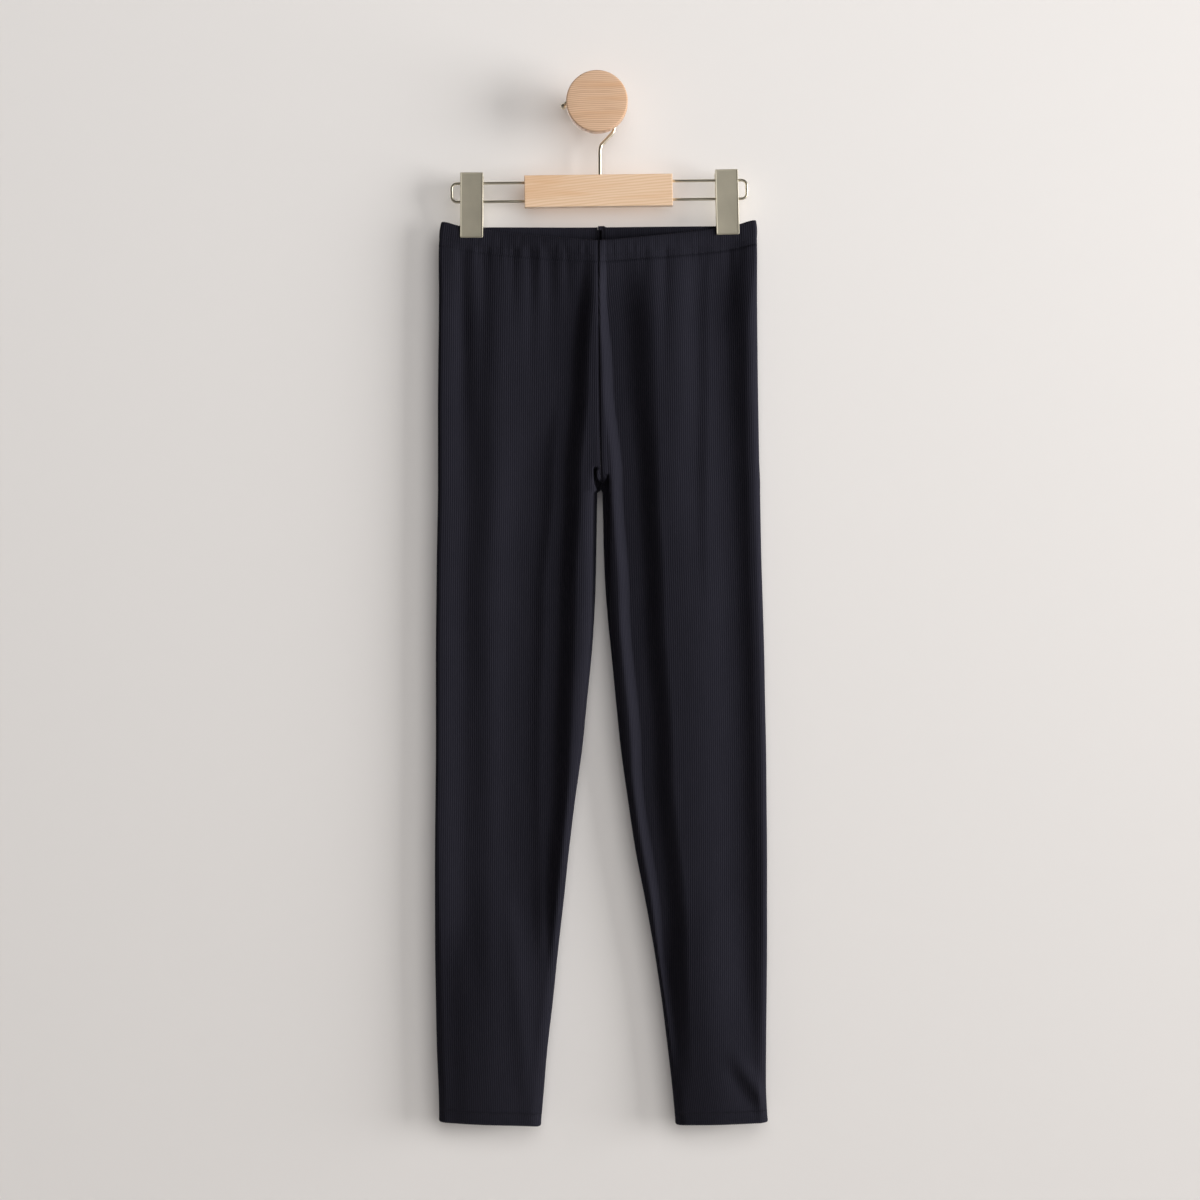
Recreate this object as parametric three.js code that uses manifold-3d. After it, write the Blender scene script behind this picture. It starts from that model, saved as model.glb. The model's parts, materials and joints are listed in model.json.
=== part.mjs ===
// Rib-knit leggings hung by the waistband from a wood and wire clip hanger on a round wooden wall peg.
// Millimetres, +X to the right, +Y into the wall, +Z up. The origin is the centre of the peg's back face,
// on the wall. The garment's front looks along -Y.
import * as THREE from 'three';
import { mergeVertices } from 'three/addons/utils/BufferGeometryUtils.js';
import Module from 'manifold-3d';

const wasm = await Module();
wasm.setup();

// Driving dimensions
const seamGap = 0.3;
const clothThickness = 1.4;
const casingThickness = 2.6;
const hemThickness = 2.6;
const casingHeight = 25.5;
const hemHeight = 12.5;
const waistTop = -122.6;
const crotchHeight = -400.4;
const hemLevel = -1083;
const hangPlane = -25;
const casingHalfDepth = 3.2;
const frontBow = 7.5;
const backBow = 4.5;
const clipFraction = 0.3;
const settleBelowCasing = 100;
const crotchRise = 42;
const edgeRoundness = 1.3;
const seamAllowance = { width: 7, height: 1 };
const casingLean = 3.5;
const dipShape = 1.4;
const backDipReach = 0.4;
const inseamTurn = 45;
const endCrowding = 0.5;
const panelColumns = 48;
const foldFade = { top: 110, bottom: 170 };
const edgeMargin = { leg: 12, seam: 5, side: 9 };
const clothColour = '#21212a';

// Outline by height: where each leg's two edges lie, and half the depth between its front and back
const sections = [
  { z: -121, leftOuter: -165.4, leftInner: 0.85, rightInner: 1.15, rightOuter: 169.3, halfDepth: 9 },
  { z: -148, leftOuter: -168.3, leftInner: 0.85, rightInner: 1.15, rightOuter: 170.4, halfDepth: 9 },
  { z: -207, leftOuter: -168.3, leftInner: 1.25, rightInner: 1.55, rightOuter: 170.4, halfDepth: 10 },
  { z: -313, leftOuter: -169.3, leftInner: 2.15, rightInner: 2.45, rightOuter: 171.5, halfDepth: 11.5 },
  { z: -377, leftOuter: -169.3, leftInner: 3.15, rightInner: 3.45, rightOuter: 172.6, halfDepth: 12 },
  { z: -400.4, leftOuter: -169.3, leftInner: 4.15, rightInner: 4.45, rightOuter: 173.6, halfDepth: 12 },
  { z: -412, leftOuter: -169.3, leftInner: 0.3, rightInner: 5.9, rightOuter: 173.6, halfDepth: 12 },
  { z: -473, leftOuter: -170.4, leftInner: -0.7, rightInner: 7.2, rightOuter: 174.7, halfDepth: 12 },
  { z: -526, leftOuter: -171, leftInner: -2.1, rightInner: 9.9, rightOuter: 176.3, halfDepth: 12 },
  { z: -579, leftOuter: -171.5, leftInner: -5.3, rightInner: 14.9, rightOuter: 177.9, halfDepth: 11.5 },
  { z: -633, leftOuter: -171.5, leftInner: -10.7, rightInner: 20.2, rightOuter: 178.9, halfDepth: 11 },
  { z: -686, leftOuter: -171.5, leftInner: -16, rightInner: 25.6, rightOuter: 180, halfDepth: 10.5 },
  { z: -739, leftOuter: -172, leftInner: -23.4, rightInner: 33, rightOuter: 180.5, halfDepth: 10 },
  { z: -792, leftOuter: -172.5, leftInner: -29.8, rightInner: 41, rightOuter: 181, halfDepth: 9.6 },
  { z: -846, leftOuter: -172.5, leftInner: -35.5, rightInner: 51.5, rightOuter: 181, halfDepth: 9.2 },
  { z: -899, leftOuter: -172.3, leftInner: -41.5, rightInner: 61, rightOuter: 181, halfDepth: 8.8 },
  { z: -952, leftOuter: -171.5, leftInner: -46.9, rightInner: 69, rightOuter: 180.5, halfDepth: 8.4 },
  { z: -1005, leftOuter: -170.4, leftInner: -53, rightInner: 75.6, rightOuter: 180, halfDepth: 8 },
  { z: -1048, leftOuter: -168.6, leftInner: -56.6, rightInner: 80.5, rightOuter: 180, halfDepth: 7.4 },
  { z: -1086, leftOuter: -167.8, leftInner: -60, rightInner: 84, rightOuter: 182, halfDepth: 6.8 },
];

// How far the waist's top edge and hem line leave their levels, at the side fold and the centre seam
const edgeLines = {
  left: { frontDip: 20, backDip: 4.6, sideDrop: 0.9, hemOuter: 2, hemInner: -3.2, seamIn: 3.8 },
  right: { frontDip: 20, backDip: 4.6, sideDrop: -0.9, hemOuter: 1.5, hemInner: -1.5, seamIn: 6 },
};

// Large folds: where each one's crest or middle runs across the leg at seven heights, how far the cloth
// drops beside it and how far away the drop is deepest. A valley falls on both sides of its line and a
// ridge rises; a leftward fold has a sharp crest and falls to its left; a rightward fold rounds down to
// a crease on its right.
const foldHeights = {
  hip: -190, rise: -292, crotch: -398, thigh: -526, knee: -697, calf: -888, ankle: -1048,
};
const folds = [
  { leg: 'left', layer: 'front', kind: 'valley', drop: 2.4, reach: 16, from: -160, to: -1075,
    hip: -138, rise: -135, crotch: -120, thigh: -125, knee: -122, calf: -135, ankle: -153 },
  { leg: 'left', layer: 'front', kind: 'ridge', drop: 2, reach: 20, from: -175, to: -1070,
    hip: -95, rise: -91, crotch: -94, thigh: -91, knee: -88, calf: -83, ankle: -66 },
  { leg: 'left', layer: 'front', kind: 'leftward', drop: 2.2, reach: 9, from: -220, to: -960,
    hip: -37, rise: -37, crotch: -49, thigh: -55, knee: -60, calf: -50, ankle: -46 },
  { leg: 'left', layer: 'front', kind: 'leftward', drop: 6.5, reach: 13, from: -160, to: -900,
    hip: -3, rise: -10, crotch: -15, thigh: -15, knee: -27, calf: -43, ankle: -52 },
  { leg: 'right', layer: 'front', kind: 'rightward', drop: 4, reach: 10, from: -165, to: -930,
    hip: 5, rise: 8, crotch: 11, thigh: 18, knee: 33, calf: 58, ankle: 76 },
  { leg: 'right', layer: 'front', kind: 'leftward', drop: 4.2, reach: 12, from: -180, to: -1065,
    hip: 56, rise: 62, crotch: 66, thigh: 72, knee: 83, calf: 97, ankle: 101 },
  { leg: 'right', layer: 'front', kind: 'ridge', drop: 1.6, reach: 26, from: -180, to: -1070,
    hip: 100, rise: 104, crotch: 112, thigh: 120, knee: 130, calf: 142, ankle: 148 },
  { leg: 'right', layer: 'front', kind: 'valley', drop: 1.8, reach: 12, from: -160, to: -430,
    hip: 114, rise: 114, crotch: 112, thigh: 112, knee: 112, calf: 112, ankle: 112 },
  { leg: 'right', layer: 'front', kind: 'leftward', drop: 2.6, reach: 8, from: -155, to: -1050,
    hip: 153, rise: 156, crotch: 161, thigh: 165, knee: 171, calf: 173, ankle: 173 },
  { leg: 'left', layer: 'back', kind: 'valley', drop: 2.6, reach: 15, from: -175, to: -1000,
    hip: -122, rise: -120, crotch: -114, thigh: -112, knee: -116, calf: -124, ankle: -134 },
  { leg: 'left', layer: 'back', kind: 'ridge', drop: 1.8, reach: 20, from: -185, to: -1050,
    hip: -84, rise: -82, crotch: -80, thigh: -82, knee: -86, calf: -92, ankle: -98 },
  { leg: 'left', layer: 'back', kind: 'leftward', drop: 4.6, reach: 13, from: -170, to: -940,
    hip: -14, rise: -22, crotch: -30, thigh: -36, knee: -48, calf: -62, ankle: -76 },
  { leg: 'right', layer: 'back', kind: 'rightward', drop: 3.8, reach: 12, from: -170, to: -940,
    hip: 12, rise: 20, crotch: 28, thigh: 34, knee: 50, calf: 74, ankle: 94 },
  { leg: 'right', layer: 'back', kind: 'leftward', drop: 3.2, reach: 12, from: -185, to: -1050,
    hip: 76, rise: 80, crotch: 84, thigh: 90, knee: 102, calf: 116, ankle: 126 },
  { leg: 'right', layer: 'back', kind: 'valley', drop: 2.2, reach: 13, from: -170, to: -1000,
    hip: 136, rise: 136, crotch: 134, thigh: 138, knee: 144, calf: 152, ankle: 158 },
];

// Gathers that the elastic draws up below the casing, unevenly spaced over a stretch of each panel
const gathers = [
  { leg: 'left', layer: 'front', start: -113, end: -8, count: 9, drop: 1.3, length: 115 },
  { leg: 'left', layer: 'front', start: -160, end: -113, count: 2, drop: 0.7, length: 80 },
  { leg: 'right', layer: 'front', start: 18, end: 164, count: 8, drop: 0.8, length: 90 },
  { leg: 'left', layer: 'back', start: -160, end: -12, count: 10, drop: 0.9, length: 110 },
  { leg: 'right', layer: 'back', start: 12, end: 162, count: 10, drop: 0.9, length: 110 },
];

const legs = {
  left: { name: 'left', sign: -1, outer: 'leftOuter', inner: 'leftInner', ...edgeLines.left },
  right: { name: 'right', sign: 1, outer: 'rightOuter', inner: 'rightInner', ...edgeLines.right },
};

const mix = (a, b, t) => a + (b - a) * t;
const smooth = (t) => {
  const c = Math.min(1, Math.max(0, t));
  return c * c * (3 - 2 * c);
};

// A column of the outline table at any height, as a smooth curve through its rows
function sectionValue(column, z) {
  const last = sections.length - 1;
  let i = sections.findIndex((row) => row.z <= z);
  if (i < 0) i = last;
  i = Math.min(last, Math.max(1, i));
  const [above, below] = [sections[i - 1], sections[i]];
  const span = above.z - below.z;
  const t = Math.min(1, Math.max(0, (above.z - z) / span));
  const slope = (k) => {
    const up = sections[Math.max(0, k - 1)];
    const down = sections[Math.min(last, k + 1)];
    return (down[column] - up[column]) / (up.z - down.z);
  };
  const [m0, m1] = sharpRow(above) || sharpRow(below) ? [null, null] : [slope(i - 1) * span, slope(i) * span];
  if (m0 === null) return mix(above[column], below[column], t);
  const [t2, t3] = [t * t, t * t * t];
  return (2 * t3 - 3 * t2 + 1) * above[column] + (t3 - 2 * t2 + t) * m0
    + (3 * t2 - 2 * t3) * below[column] + (t3 - t2) * m1;
}

// The centre seam ends and the legs part at the crotch, so its rows aren't rounded
function sharpRow(row) {
  return row.z <= crotchHeight + 30 && row.z >= crotchHeight - 15;
}

// A fold's place across the leg at any height
function foldCentre(fold, z) {
  const names = Object.keys(foldHeights);
  let i = names.findIndex((name) => foldHeights[name] <= z);
  if (i < 0) i = names.length - 1;
  i = Math.max(1, i);
  const [top, bottom] = [foldHeights[names[i - 1]], foldHeights[names[i]]];
  const t = Math.min(1, Math.max(0, (top - z) / (top - bottom)));
  return mix(fold[names[i - 1]], fold[names[i]], smooth(t));
}

function legWidth(leg, z) {
  return Math.abs(sectionValue(leg.outer, z) - sectionValue(leg.inner, z));
}

// Height of one fold at a distance to the right of its line
function foldProfile(fold, off) {
  const t = off / fold.reach;
  if (fold.kind === 'valley') return -fold.drop * Math.exp(-t * t);
  if (fold.kind === 'ridge') return fold.drop * Math.exp(-t * t);
  if (fold.kind === 'leftward') return t < 0 ? fold.drop * t * Math.exp(1 + t) : 0;
  if (t < 0) return 0;
  return -fold.drop * (t < 1 ? t * t : Math.exp((1 - t) / 1.6));
}

// Height of the gathers over a panel, at a place across it and a depth below the casing
function gatherHeight(leg, layer, x, below) {
  let height = 0;
  for (const set of gathers) {
    if (set.leg !== leg.name || set.layer !== layer) continue;
    const spacing = (set.end - set.start) / set.count;
    for (let k = 0; k < set.count; k++) {
      const centre = set.start + spacing * (k + 0.5 + 0.25 * Math.sin(2.4 * k));
      const length = set.length * (0.75 + 0.25 * Math.sin(5 * k));
      const fade = smooth((below + 2) / 8) * (1 - smooth(below / length));
      height -= set.drop * fade * Math.exp(-(((x - centre) / (0.32 * spacing)) ** 2));
    }
  }
  return height;
}

// Height of the folds and gathers over a panel at a distance from its inner edge
function relief(leg, layer, z, distance, open) {
  const width = legWidth(leg, z);
  const x = sectionValue(leg.inner, z) + leg.sign * distance;
  let height = gatherHeight(leg, layer, x, waistTop - casingHeight - z);
  for (const fold of folds) {
    if (fold.leg !== leg.name || fold.layer !== layer) continue;
    const fade = smooth((fold.from - z) / foldFade.top) * smooth((z - fold.to) / foldFade.bottom);
    if (fade > 0) height += fade * foldProfile(fold, x - foldCentre(fold, z));
  }
  const innerMargin = mix(edgeMargin.leg, edgeMargin.seam, open);
  return height * smooth(distance / innerMargin) * smooth((width - distance) / edgeMargin.side);
}

// Half depth of the garment: pinched flat at the clips, bowed between them, fuller below the casing
function halfDepth(leg, layer, z, distance) {
  const centreFraction = 1 - distance / legWidth(leg, z);
  const bow = (layer === 'front' ? frontBow : backBow) * smooth((centreFraction - clipFraction) / 0.7);
  const settled = smooth((waistTop - casingHeight - z) / settleBelowCasing);
  return mix(casingHalfDepth + bow, sectionValue('halfDepth', z), settled);
}

// How open the leg's inner side is: 1 in the hip, closing to the crotch point and closed below it
function innerOpening(leg, z, depth) {
  if (z <= crotchHeight) return 0;
  const t = Math.min(1, (z - crotchHeight) / crotchRise);
  return Math.max(seamGap / (2 * depth), Math.sqrt(1 - (1 - t) * (1 - t)));
}

// A point of a panel's outer face: layer is front or back, distance is from the leg's inner edge
function panelPoint(leg, layer, z, distance) {
  const width = legWidth(leg, z);
  const depth = halfDepth(leg, layer, z, distance);
  const settled = smooth((waistTop - casingHeight - z) / settleBelowCasing);
  const edge = depth * mix(1, edgeRoundness, settled);
  const open = innerOpening(leg, z, depth);
  const fromInner = Math.max(0, 1 - distance / edge);
  const fromOuter = Math.max(0, 1 - (width - distance) / edge);
  const roundInner = Math.sqrt(Math.max(0, 1 - (1 - open * open) * fromInner * fromInner));
  const roundOuter = Math.sqrt(Math.max(0, 1 - fromOuter * fromOuter));
  const side = layer === 'front' ? -1 : 1;
  const x = sectionValue(leg.inner, z) + leg.sign * distance;
  const y = hangPlane + side * (depth * roundInner * roundOuter + relief(leg, layer, z, distance, open));
  return new THREE.Vector2(x, y);
}

// The panel's path round the leg at one height, from its front end over the side fold to its back end
function panelPath(leg, z) {
  const width = legWidth(leg, z);
  const below = crotchHeight - z;
  const seamIn = below > 0 ? mix(seamGap / 6, leg.seamIn, smooth(below / inseamTurn)) : 0;
  const steps = 90;
  const route = [];
  for (let i = 0; i <= steps; i++) {
    const d = (width * (1 - Math.cos((Math.PI * i) / steps))) / 2;
    if (d > seamIn + seamGap / 2) route.push(['front', d]);
  }
  route.unshift(['front', seamIn + (below > 0 ? seamGap / 2 : 0)]);
  for (let i = steps - 1; i >= 0; i--) {
    route.push(['back', (width * (1 - Math.cos((Math.PI * i) / steps))) / 2]);
  }
  for (let i = 1; below > 0 && i <= 4; i++) {
    route.push(['front', ((seamIn - seamGap / 2) * i) / 4]);
  }
  return route.map(([layer, d]) => panelPoint(leg, layer, z, d));
}

// Points at equal fractions along a path, closer together near its ends and middle where cloth turns
function spread(path, columns) {
  const length = [0];
  for (let i = 1; i < path.length; i++) length.push(length[i - 1] + path[i].distanceTo(path[i - 1]));
  const total = length[length.length - 1];
  const points = [];
  for (let j = 0; j < columns; j++) {
    const fraction = j / (columns - 1);
    const eased = fraction - (endCrowding * Math.sin(4 * Math.PI * fraction)) / (4 * Math.PI);
    const target = eased * total;
    let i = length.findIndex((l) => l >= target - 1e-9);
    i = Math.max(1, i);
    const t = (target - length[i - 1]) / Math.max(1e-9, length[i] - length[i - 1]);
    points.push(path[i - 1].clone().lerp(path[i], t));
  }
  return points;
}

// The outer face's points at one height, and the same points moved in by the wall's thickness. In a
// closed leg the panel's two ends face each other across the inseam.
const rowCache = new Map();
function panelRow(leg, z, thickness) {
  const key = `${leg.name}:${z.toFixed(3)}`;
  if (!rowCache.has(key)) rowCache.set(key, spread(panelPath(leg, z), panelColumns));
  const outer = rowCache.get(key);
  const last = outer.length - 1;
  const closed = z <= crotchHeight;
  const inner = outer.map((point, j) => {
    const next = j < last ? outer[j + 1] : outer[closed ? 1 : last];
    const previous = j > 0 ? outer[j - 1] : outer[closed ? last - 1 : 0];
    const along = next.clone().sub(previous).normalize();
    const inward = new THREE.Vector2(-leg.sign * along.y, leg.sign * along.x);
    return point.clone().addScaledVector(inward, thickness);
  });
  return { outer, inner };
}

// A closed wall from two grids of points of the same size, the outer face and the inner face
function wall(outer, inner) {
  const rows = outer.length;
  const columns = outer[0].length;
  const positions = [];
  for (const grid of [outer, inner]) {
    for (const row of grid) {
      for (const p of row) positions.push(p.x, p.y, p.z);
    }
  }
  const at = (grid, i, j) => grid * rows * columns + i * columns + j;
  const index = [];
  const quad = (a, b, c, d) => index.push(a, b, c, a, c, d);
  for (let i = 0; i < rows - 1; i++) {
    for (let j = 0; j < columns - 1; j++) {
      quad(at(0, i, j), at(0, i + 1, j), at(0, i + 1, j + 1), at(0, i, j + 1));
      quad(at(1, i, j), at(1, i, j + 1), at(1, i + 1, j + 1), at(1, i + 1, j));
    }
    quad(at(0, i, 0), at(1, i, 0), at(1, i + 1, 0), at(0, i + 1, 0));
    quad(at(0, i, columns - 1), at(0, i + 1, columns - 1), at(1, i + 1, columns - 1), at(1, i, columns - 1));
  }
  for (let j = 0; j < columns - 1; j++) {
    quad(at(0, 0, j), at(0, 0, j + 1), at(1, 0, j + 1), at(1, 0, j));
    quad(at(0, rows - 1, j), at(1, rows - 1, j), at(1, rows - 1, j + 1), at(0, rows - 1, j + 1));
  }
  return facingOut(positions, index);
}

function facingOut(positions, index) {
  const corner = (k) => new THREE.Vector3().fromArray(positions, index[k] * 3);
  let volume = 0;
  for (let k = 0; k < index.length; k += 3) volume += corner(k).dot(corner(k + 1).cross(corner(k + 2)));
  if (volume < 0) index.reverse();
  const geometry = new THREE.BufferGeometry();
  geometry.setAttribute('position', new THREE.Float32BufferAttribute(positions, 3));
  geometry.setIndex(index);
  geometry.computeVertexNormals();
  return geometry;
}

// Fraction from the side fold to the centre seam of a column, and whether it is on the front
function columnPlace(leg, j) {
  const fraction = j / (panelColumns - 1);
  return { front: fraction < 0.5, centre: Math.abs(1 - 2 * fraction) };
}

// Height of the waist's top edge: it dips between the clips, more at the front than at the back
function waistEdge(leg, j) {
  const { front, centre } = columnPlace(leg, j);
  const frontDip = leg.frontDip * Math.sin((Math.PI / 2) * centre) ** dipShape;
  const dip = front ? frontDip : leg.backDip * smooth(centre / backDipReach);
  return waistTop - leg.sideDrop * (1 - centre) - dip;
}

// The seam between casing and panels lies a casing's height lower, a little less where the front leans
function casingSeam(leg, j) {
  const { front, centre } = columnPlace(leg, j);
  const lean = front ? casingLean * smooth(centre) : 0;
  return waistEdge(leg, j) - casingHeight + lean;
}

function hemLine(leg, j) {
  const { centre } = columnPlace(leg, j);
  return hemLevel + mix(leg.hemOuter, leg.hemInner, centre);
}

// Rows of heights for a stretch of panel, between two edge lines
function panelWall(leg, heights, thickness) {
  const outer = [];
  const inner = [];
  for (const heightAt of heights) {
    const [outerRow, innerRow] = [[], []];
    for (let j = 0; j < panelColumns; j++) {
      const z = heightAt(leg, j);
      const row = panelRow(leg, z, thickness);
      outerRow.push(new THREE.Vector3(row.outer[j].x, row.outer[j].y, z));
      innerRow.push(new THREE.Vector3(row.inner[j].x, row.inner[j].y, z));
    }
    outer.push(outerRow);
    inner.push(innerRow);
  }
  return wall(outer, inner);
}

// Heights of a leg panel's rows: the casing seam's curve dies out down the hip, the hem's near the ankle
const panelTop = -150;
const curveFoot = -330;
const panelLevels = [
  -170, -190, -214, -240, -268, -298, -328, -352, -372, -388, crotchHeight, -409, -424, -448,
  -490, -545, -605, -670, -740, -815, -890, -960, -1020,
];
const legHeights = [
  (leg, j) => casingSeam(leg, j) - seamGap,
  ...panelLevels.map((level) => (leg, j) => {
    const bend = casingSeam(leg, j) - panelTop;
    return level + bend * smooth((level - curveFoot) / (panelTop - curveFoot));
  }),
  (leg, j) => hemLine(leg, j) + hemHeight + seamGap,
];
const casingHeights = [0, 0.5, 1].map((t) => (leg, j) => mix(waistEdge(leg, j), casingSeam(leg, j), t));
const hemHeights = [0, 1].map((t) => (leg, j) => hemLine(leg, j) + hemHeight * (1 - t));

const hanging = new THREE.Group();

function add(group, name, geometry, material) {
  const mesh = new THREE.Mesh(geometry, new THREE.MeshStandardMaterial(material));
  mesh.name = name;
  group.add(mesh);
  return mesh;
}

const cloth = { color: clothColour, roughness: 0.92, metalness: 0 };
for (const leg of Object.values(legs)) {
  add(hanging, `leg_${leg.name}`, panelWall(leg, legHeights, clothThickness), cloth);
  add(hanging, `waistband_${leg.name}`, panelWall(leg, casingHeights, casingThickness), cloth);
  add(hanging, `hem_${leg.name}`, panelWall(leg, hemHeights, hemThickness), cloth);
}

// Overlocked seam allowances of the centre seams: strips on the right half's inner face, beside the seam
function seamStrip(layer, heights, wallThickness) {
  const leg = legs.right;
  const [outer, inner] = [[], []];
  const inside = layer === 'front' ? 1 : -1;
  const column = layer === 'front' ? 0 : panelColumns - 1;
  for (const heightAt of heights) {
    const z = heightAt(leg, column);
    const place = (distance, lift) => {
      const point = panelPoint(leg, layer, z, distance);
      return new THREE.Vector3(point.x, point.y + inside * lift, z);
    };
    const near = wallThickness + 2 * seamGap;
    const ends = [seamGap, seamAllowance.width];
    outer.push(ends.map((d) => place(d, near)));
    inner.push(ends.map((d) => place(d, near + seamAllowance.height)));
  }
  return wall(outer, inner);
}
const stripRows = legHeights.slice(0, 8);
for (const layer of ['front', 'back']) {
  add(hanging, `centre_seam_${layer}`, seamStrip(layer, stripRows, clothThickness), cloth);
  add(hanging, `casing_seam_${layer}`, seamStrip(layer, casingHeights, casingThickness), cloth);
}

// Cutting and joining of hard pieces
function solid(geometry) {
  const plain = geometry.clone();
  plain.deleteAttribute('normal');
  plain.deleteAttribute('uv');
  const merged = mergeVertices(plain, 1e-4);
  return new wasm.Manifold(new wasm.Mesh({
    numProp: 3,
    vertProperties: new Float32Array(merged.attributes.position.array),
    triVerts: new Uint32Array(merged.index.array),
  }));
}

function geometryOf(body) {
  const mesh = body.getMesh();
  const geometry = new THREE.BufferGeometry();
  geometry.setAttribute('position', new THREE.Float32BufferAttribute(mesh.vertProperties, 3));
  geometry.setIndex(new THREE.Uint32BufferAttribute(mesh.triVerts, 1));
  geometry.computeVertexNormals();
  return geometry;
}

function box(x0, x1, y0, y1, z0, z1) {
  const geometry = new THREE.BoxGeometry(x1 - x0, y1 - y0, z1 - z0);
  return solid(geometry.translate((x0 + x1) / 2, (y0 + y1) / 2, (z0 + z1) / 2));
}

// A round bar along X or Z between two ends, through a point of the other two coordinates
function rod(axis, from, to, radius, u, v, sides = 12) {
  const geometry = new THREE.CylinderGeometry(radius, radius, to - from, sides);
  if (axis === 'x') geometry.rotateZ(Math.PI / 2).translate((from + to) / 2, u, v);
  if (axis === 'z') geometry.rotateX(Math.PI / 2).translate(u, v, (from + to) / 2);
  return solid(geometry);
}

function wire(points, radius, steps) {
  const section = new THREE.Shape().absarc(0, 0, radius, 0, 2 * Math.PI, false);
  const path = new THREE.CatmullRomCurve3(points, false, 'centripetal');
  const settings = { curveSegments: 4, steps, bevelEnabled: false, extrudePath: path };
  return new THREE.ExtrudeGeometry(section, settings);
}

// Wall peg: a dowel from the wall with a round disc on its end
const peg = {
  stemRadius: 7.5, stemLength: 48, discRadius: 32.5, discThickness: 18, socketDepth: 8, chamfer: 1.2,
};
const discBack = peg.stemLength - peg.socketDepth;
const pale = { color: '#c9a688', roughness: 0.6, metalness: 0 };

const stem = new THREE.CylinderGeometry(peg.stemRadius, peg.stemRadius, peg.stemLength, 32);
add(hanging, 'peg_stem', stem, pale).position.y = -peg.stemLength / 2;

const socketRadius = peg.stemRadius + seamGap;
const discFront = discBack + peg.discThickness;
const discProfile = [
  [0, discFront], [peg.discRadius - peg.chamfer, discFront], [peg.discRadius, discFront - peg.chamfer],
  [peg.discRadius, discBack + peg.chamfer], [peg.discRadius - peg.chamfer, discBack],
  [socketRadius, discBack], [socketRadius, peg.stemLength + seamGap], [0, peg.stemLength + seamGap],
].map(([radius, out]) => new THREE.Vector2(radius, -out));
add(hanging, 'peg_disc', geometryOf(solid(new THREE.LatheGeometry(discProfile, 40))), pale);

// Hanger, drawn from the middle of its wood bar, hung a little out of level
const bar = { length: 157.5, height: 34, depth: 12, edge: 0.8, boreDepth: 30, hookBore: 17 };
const frameWire = { radius: 1.5, spread: 9.85, reach: 8, leftEnd: -157.8, rightEnd: 159.4 };
const hook = { radius: 2, arcRadius: 29.8, arcX: -10.8, arcZ: -17, stemX: 3.2, tipRadius: 3.4 };
const hookNeck = [{ x: 3.2, z: -68 }, { x: 3.2, z: -46 }, { x: 5.4, z: -39.6 }, { x: 10.6, z: -35.2 }];
const hookArc = { start: -24, end: 146, steps: 10 };
const hangerTilt = THREE.MathUtils.degToRad(0.7);
const barCentre = new THREE.Vector3(1.6, hangPlane, -90.7);
const hanger = new THREE.Group();
hanger.position.copy(barCentre);
hanger.rotation.y = -hangerTilt;
hanging.add(hanger);
const nickel = { color: '#b5afa2', roughness: 0.35, metalness: 1 };
const wood = { color: '#d8b893', roughness: 0.6, metalness: 0 };
const onHanger = (x, z) => {
  const point = new THREE.Vector3(x - barCentre.x, 0, z - barCentre.z);
  return point.applyAxisAngle(new THREE.Vector3(0, 1, 0), hangerTilt);
};

const face = new THREE.Shape();
const [halfLength, halfHeight] = [bar.length / 2 - bar.edge, bar.height / 2 - bar.edge];
face.moveTo(-halfLength, -halfHeight);
face.lineTo(halfLength, -halfHeight);
face.lineTo(halfLength, halfHeight);
face.lineTo(-halfLength, halfHeight);
const plank = new THREE.ExtrudeGeometry(face, {
  depth: bar.depth - 2 * bar.edge, bevelSize: bar.edge, bevelThickness: bar.edge, bevelSegments: 2,
});
plank.translate(0, 0, -bar.depth / 2 + bar.edge).rotateX(Math.PI / 2);
const wireBore = frameWire.radius + seamGap;
const boreStart = bar.length / 2 - bar.boreDepth;
const hookFoot = onHanger(hook.stemX, barCentre.z);
let barBody = solid(plank);
for (const height of [-frameWire.spread, frameWire.spread]) {
  barBody = barBody.subtract(rod('x', boreStart, bar.length, wireBore, 0, height));
  barBody = barBody.subtract(rod('x', -bar.length, -boreStart, wireBore, 0, height));
}
const hookBore = hook.radius + seamGap;
barBody = barBody.subtract(rod('z', bar.height / 2 - bar.hookBore, bar.height, hookBore, hookFoot.x, 0));
add(hanger, 'hanger_bar', geometryOf(barBody), wood);

// Wire loops: out of the bar's end, round, and back into it
function loopPoints(end, sign) {
  const start = sign * (boreStart + 2 * seamGap);
  const turn = end - sign * (frameWire.reach + frameWire.radius);
  const straight = [0, 0.3, 0.6, 0.85, 0.95, 1].map((t) => mix(start, turn, t));
  const points = straight.map((x) => new THREE.Vector3(x, 0, frameWire.spread));
  const turnSteps = 8;
  for (let i = 1; i < turnSteps; i++) {
    const angle = Math.PI / 2 - (Math.PI * i) / turnSteps;
    const x = turn + sign * frameWire.reach * Math.cos(angle);
    points.push(new THREE.Vector3(x, 0, frameWire.spread * Math.sin(angle)));
  }
  points.push(...straight.reverse().map((x) => new THREE.Vector3(x, 0, -frameWire.spread)));
  return points;
}
add(hanger, 'hanger_loop_left', wire(loopPoints(frameWire.leftEnd, -1), frameWire.radius, 32), nickel);
add(hanger, 'hanger_loop_right', wire(loopPoints(frameWire.rightEnd, 1), frameWire.radius, 32), nickel);

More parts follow.
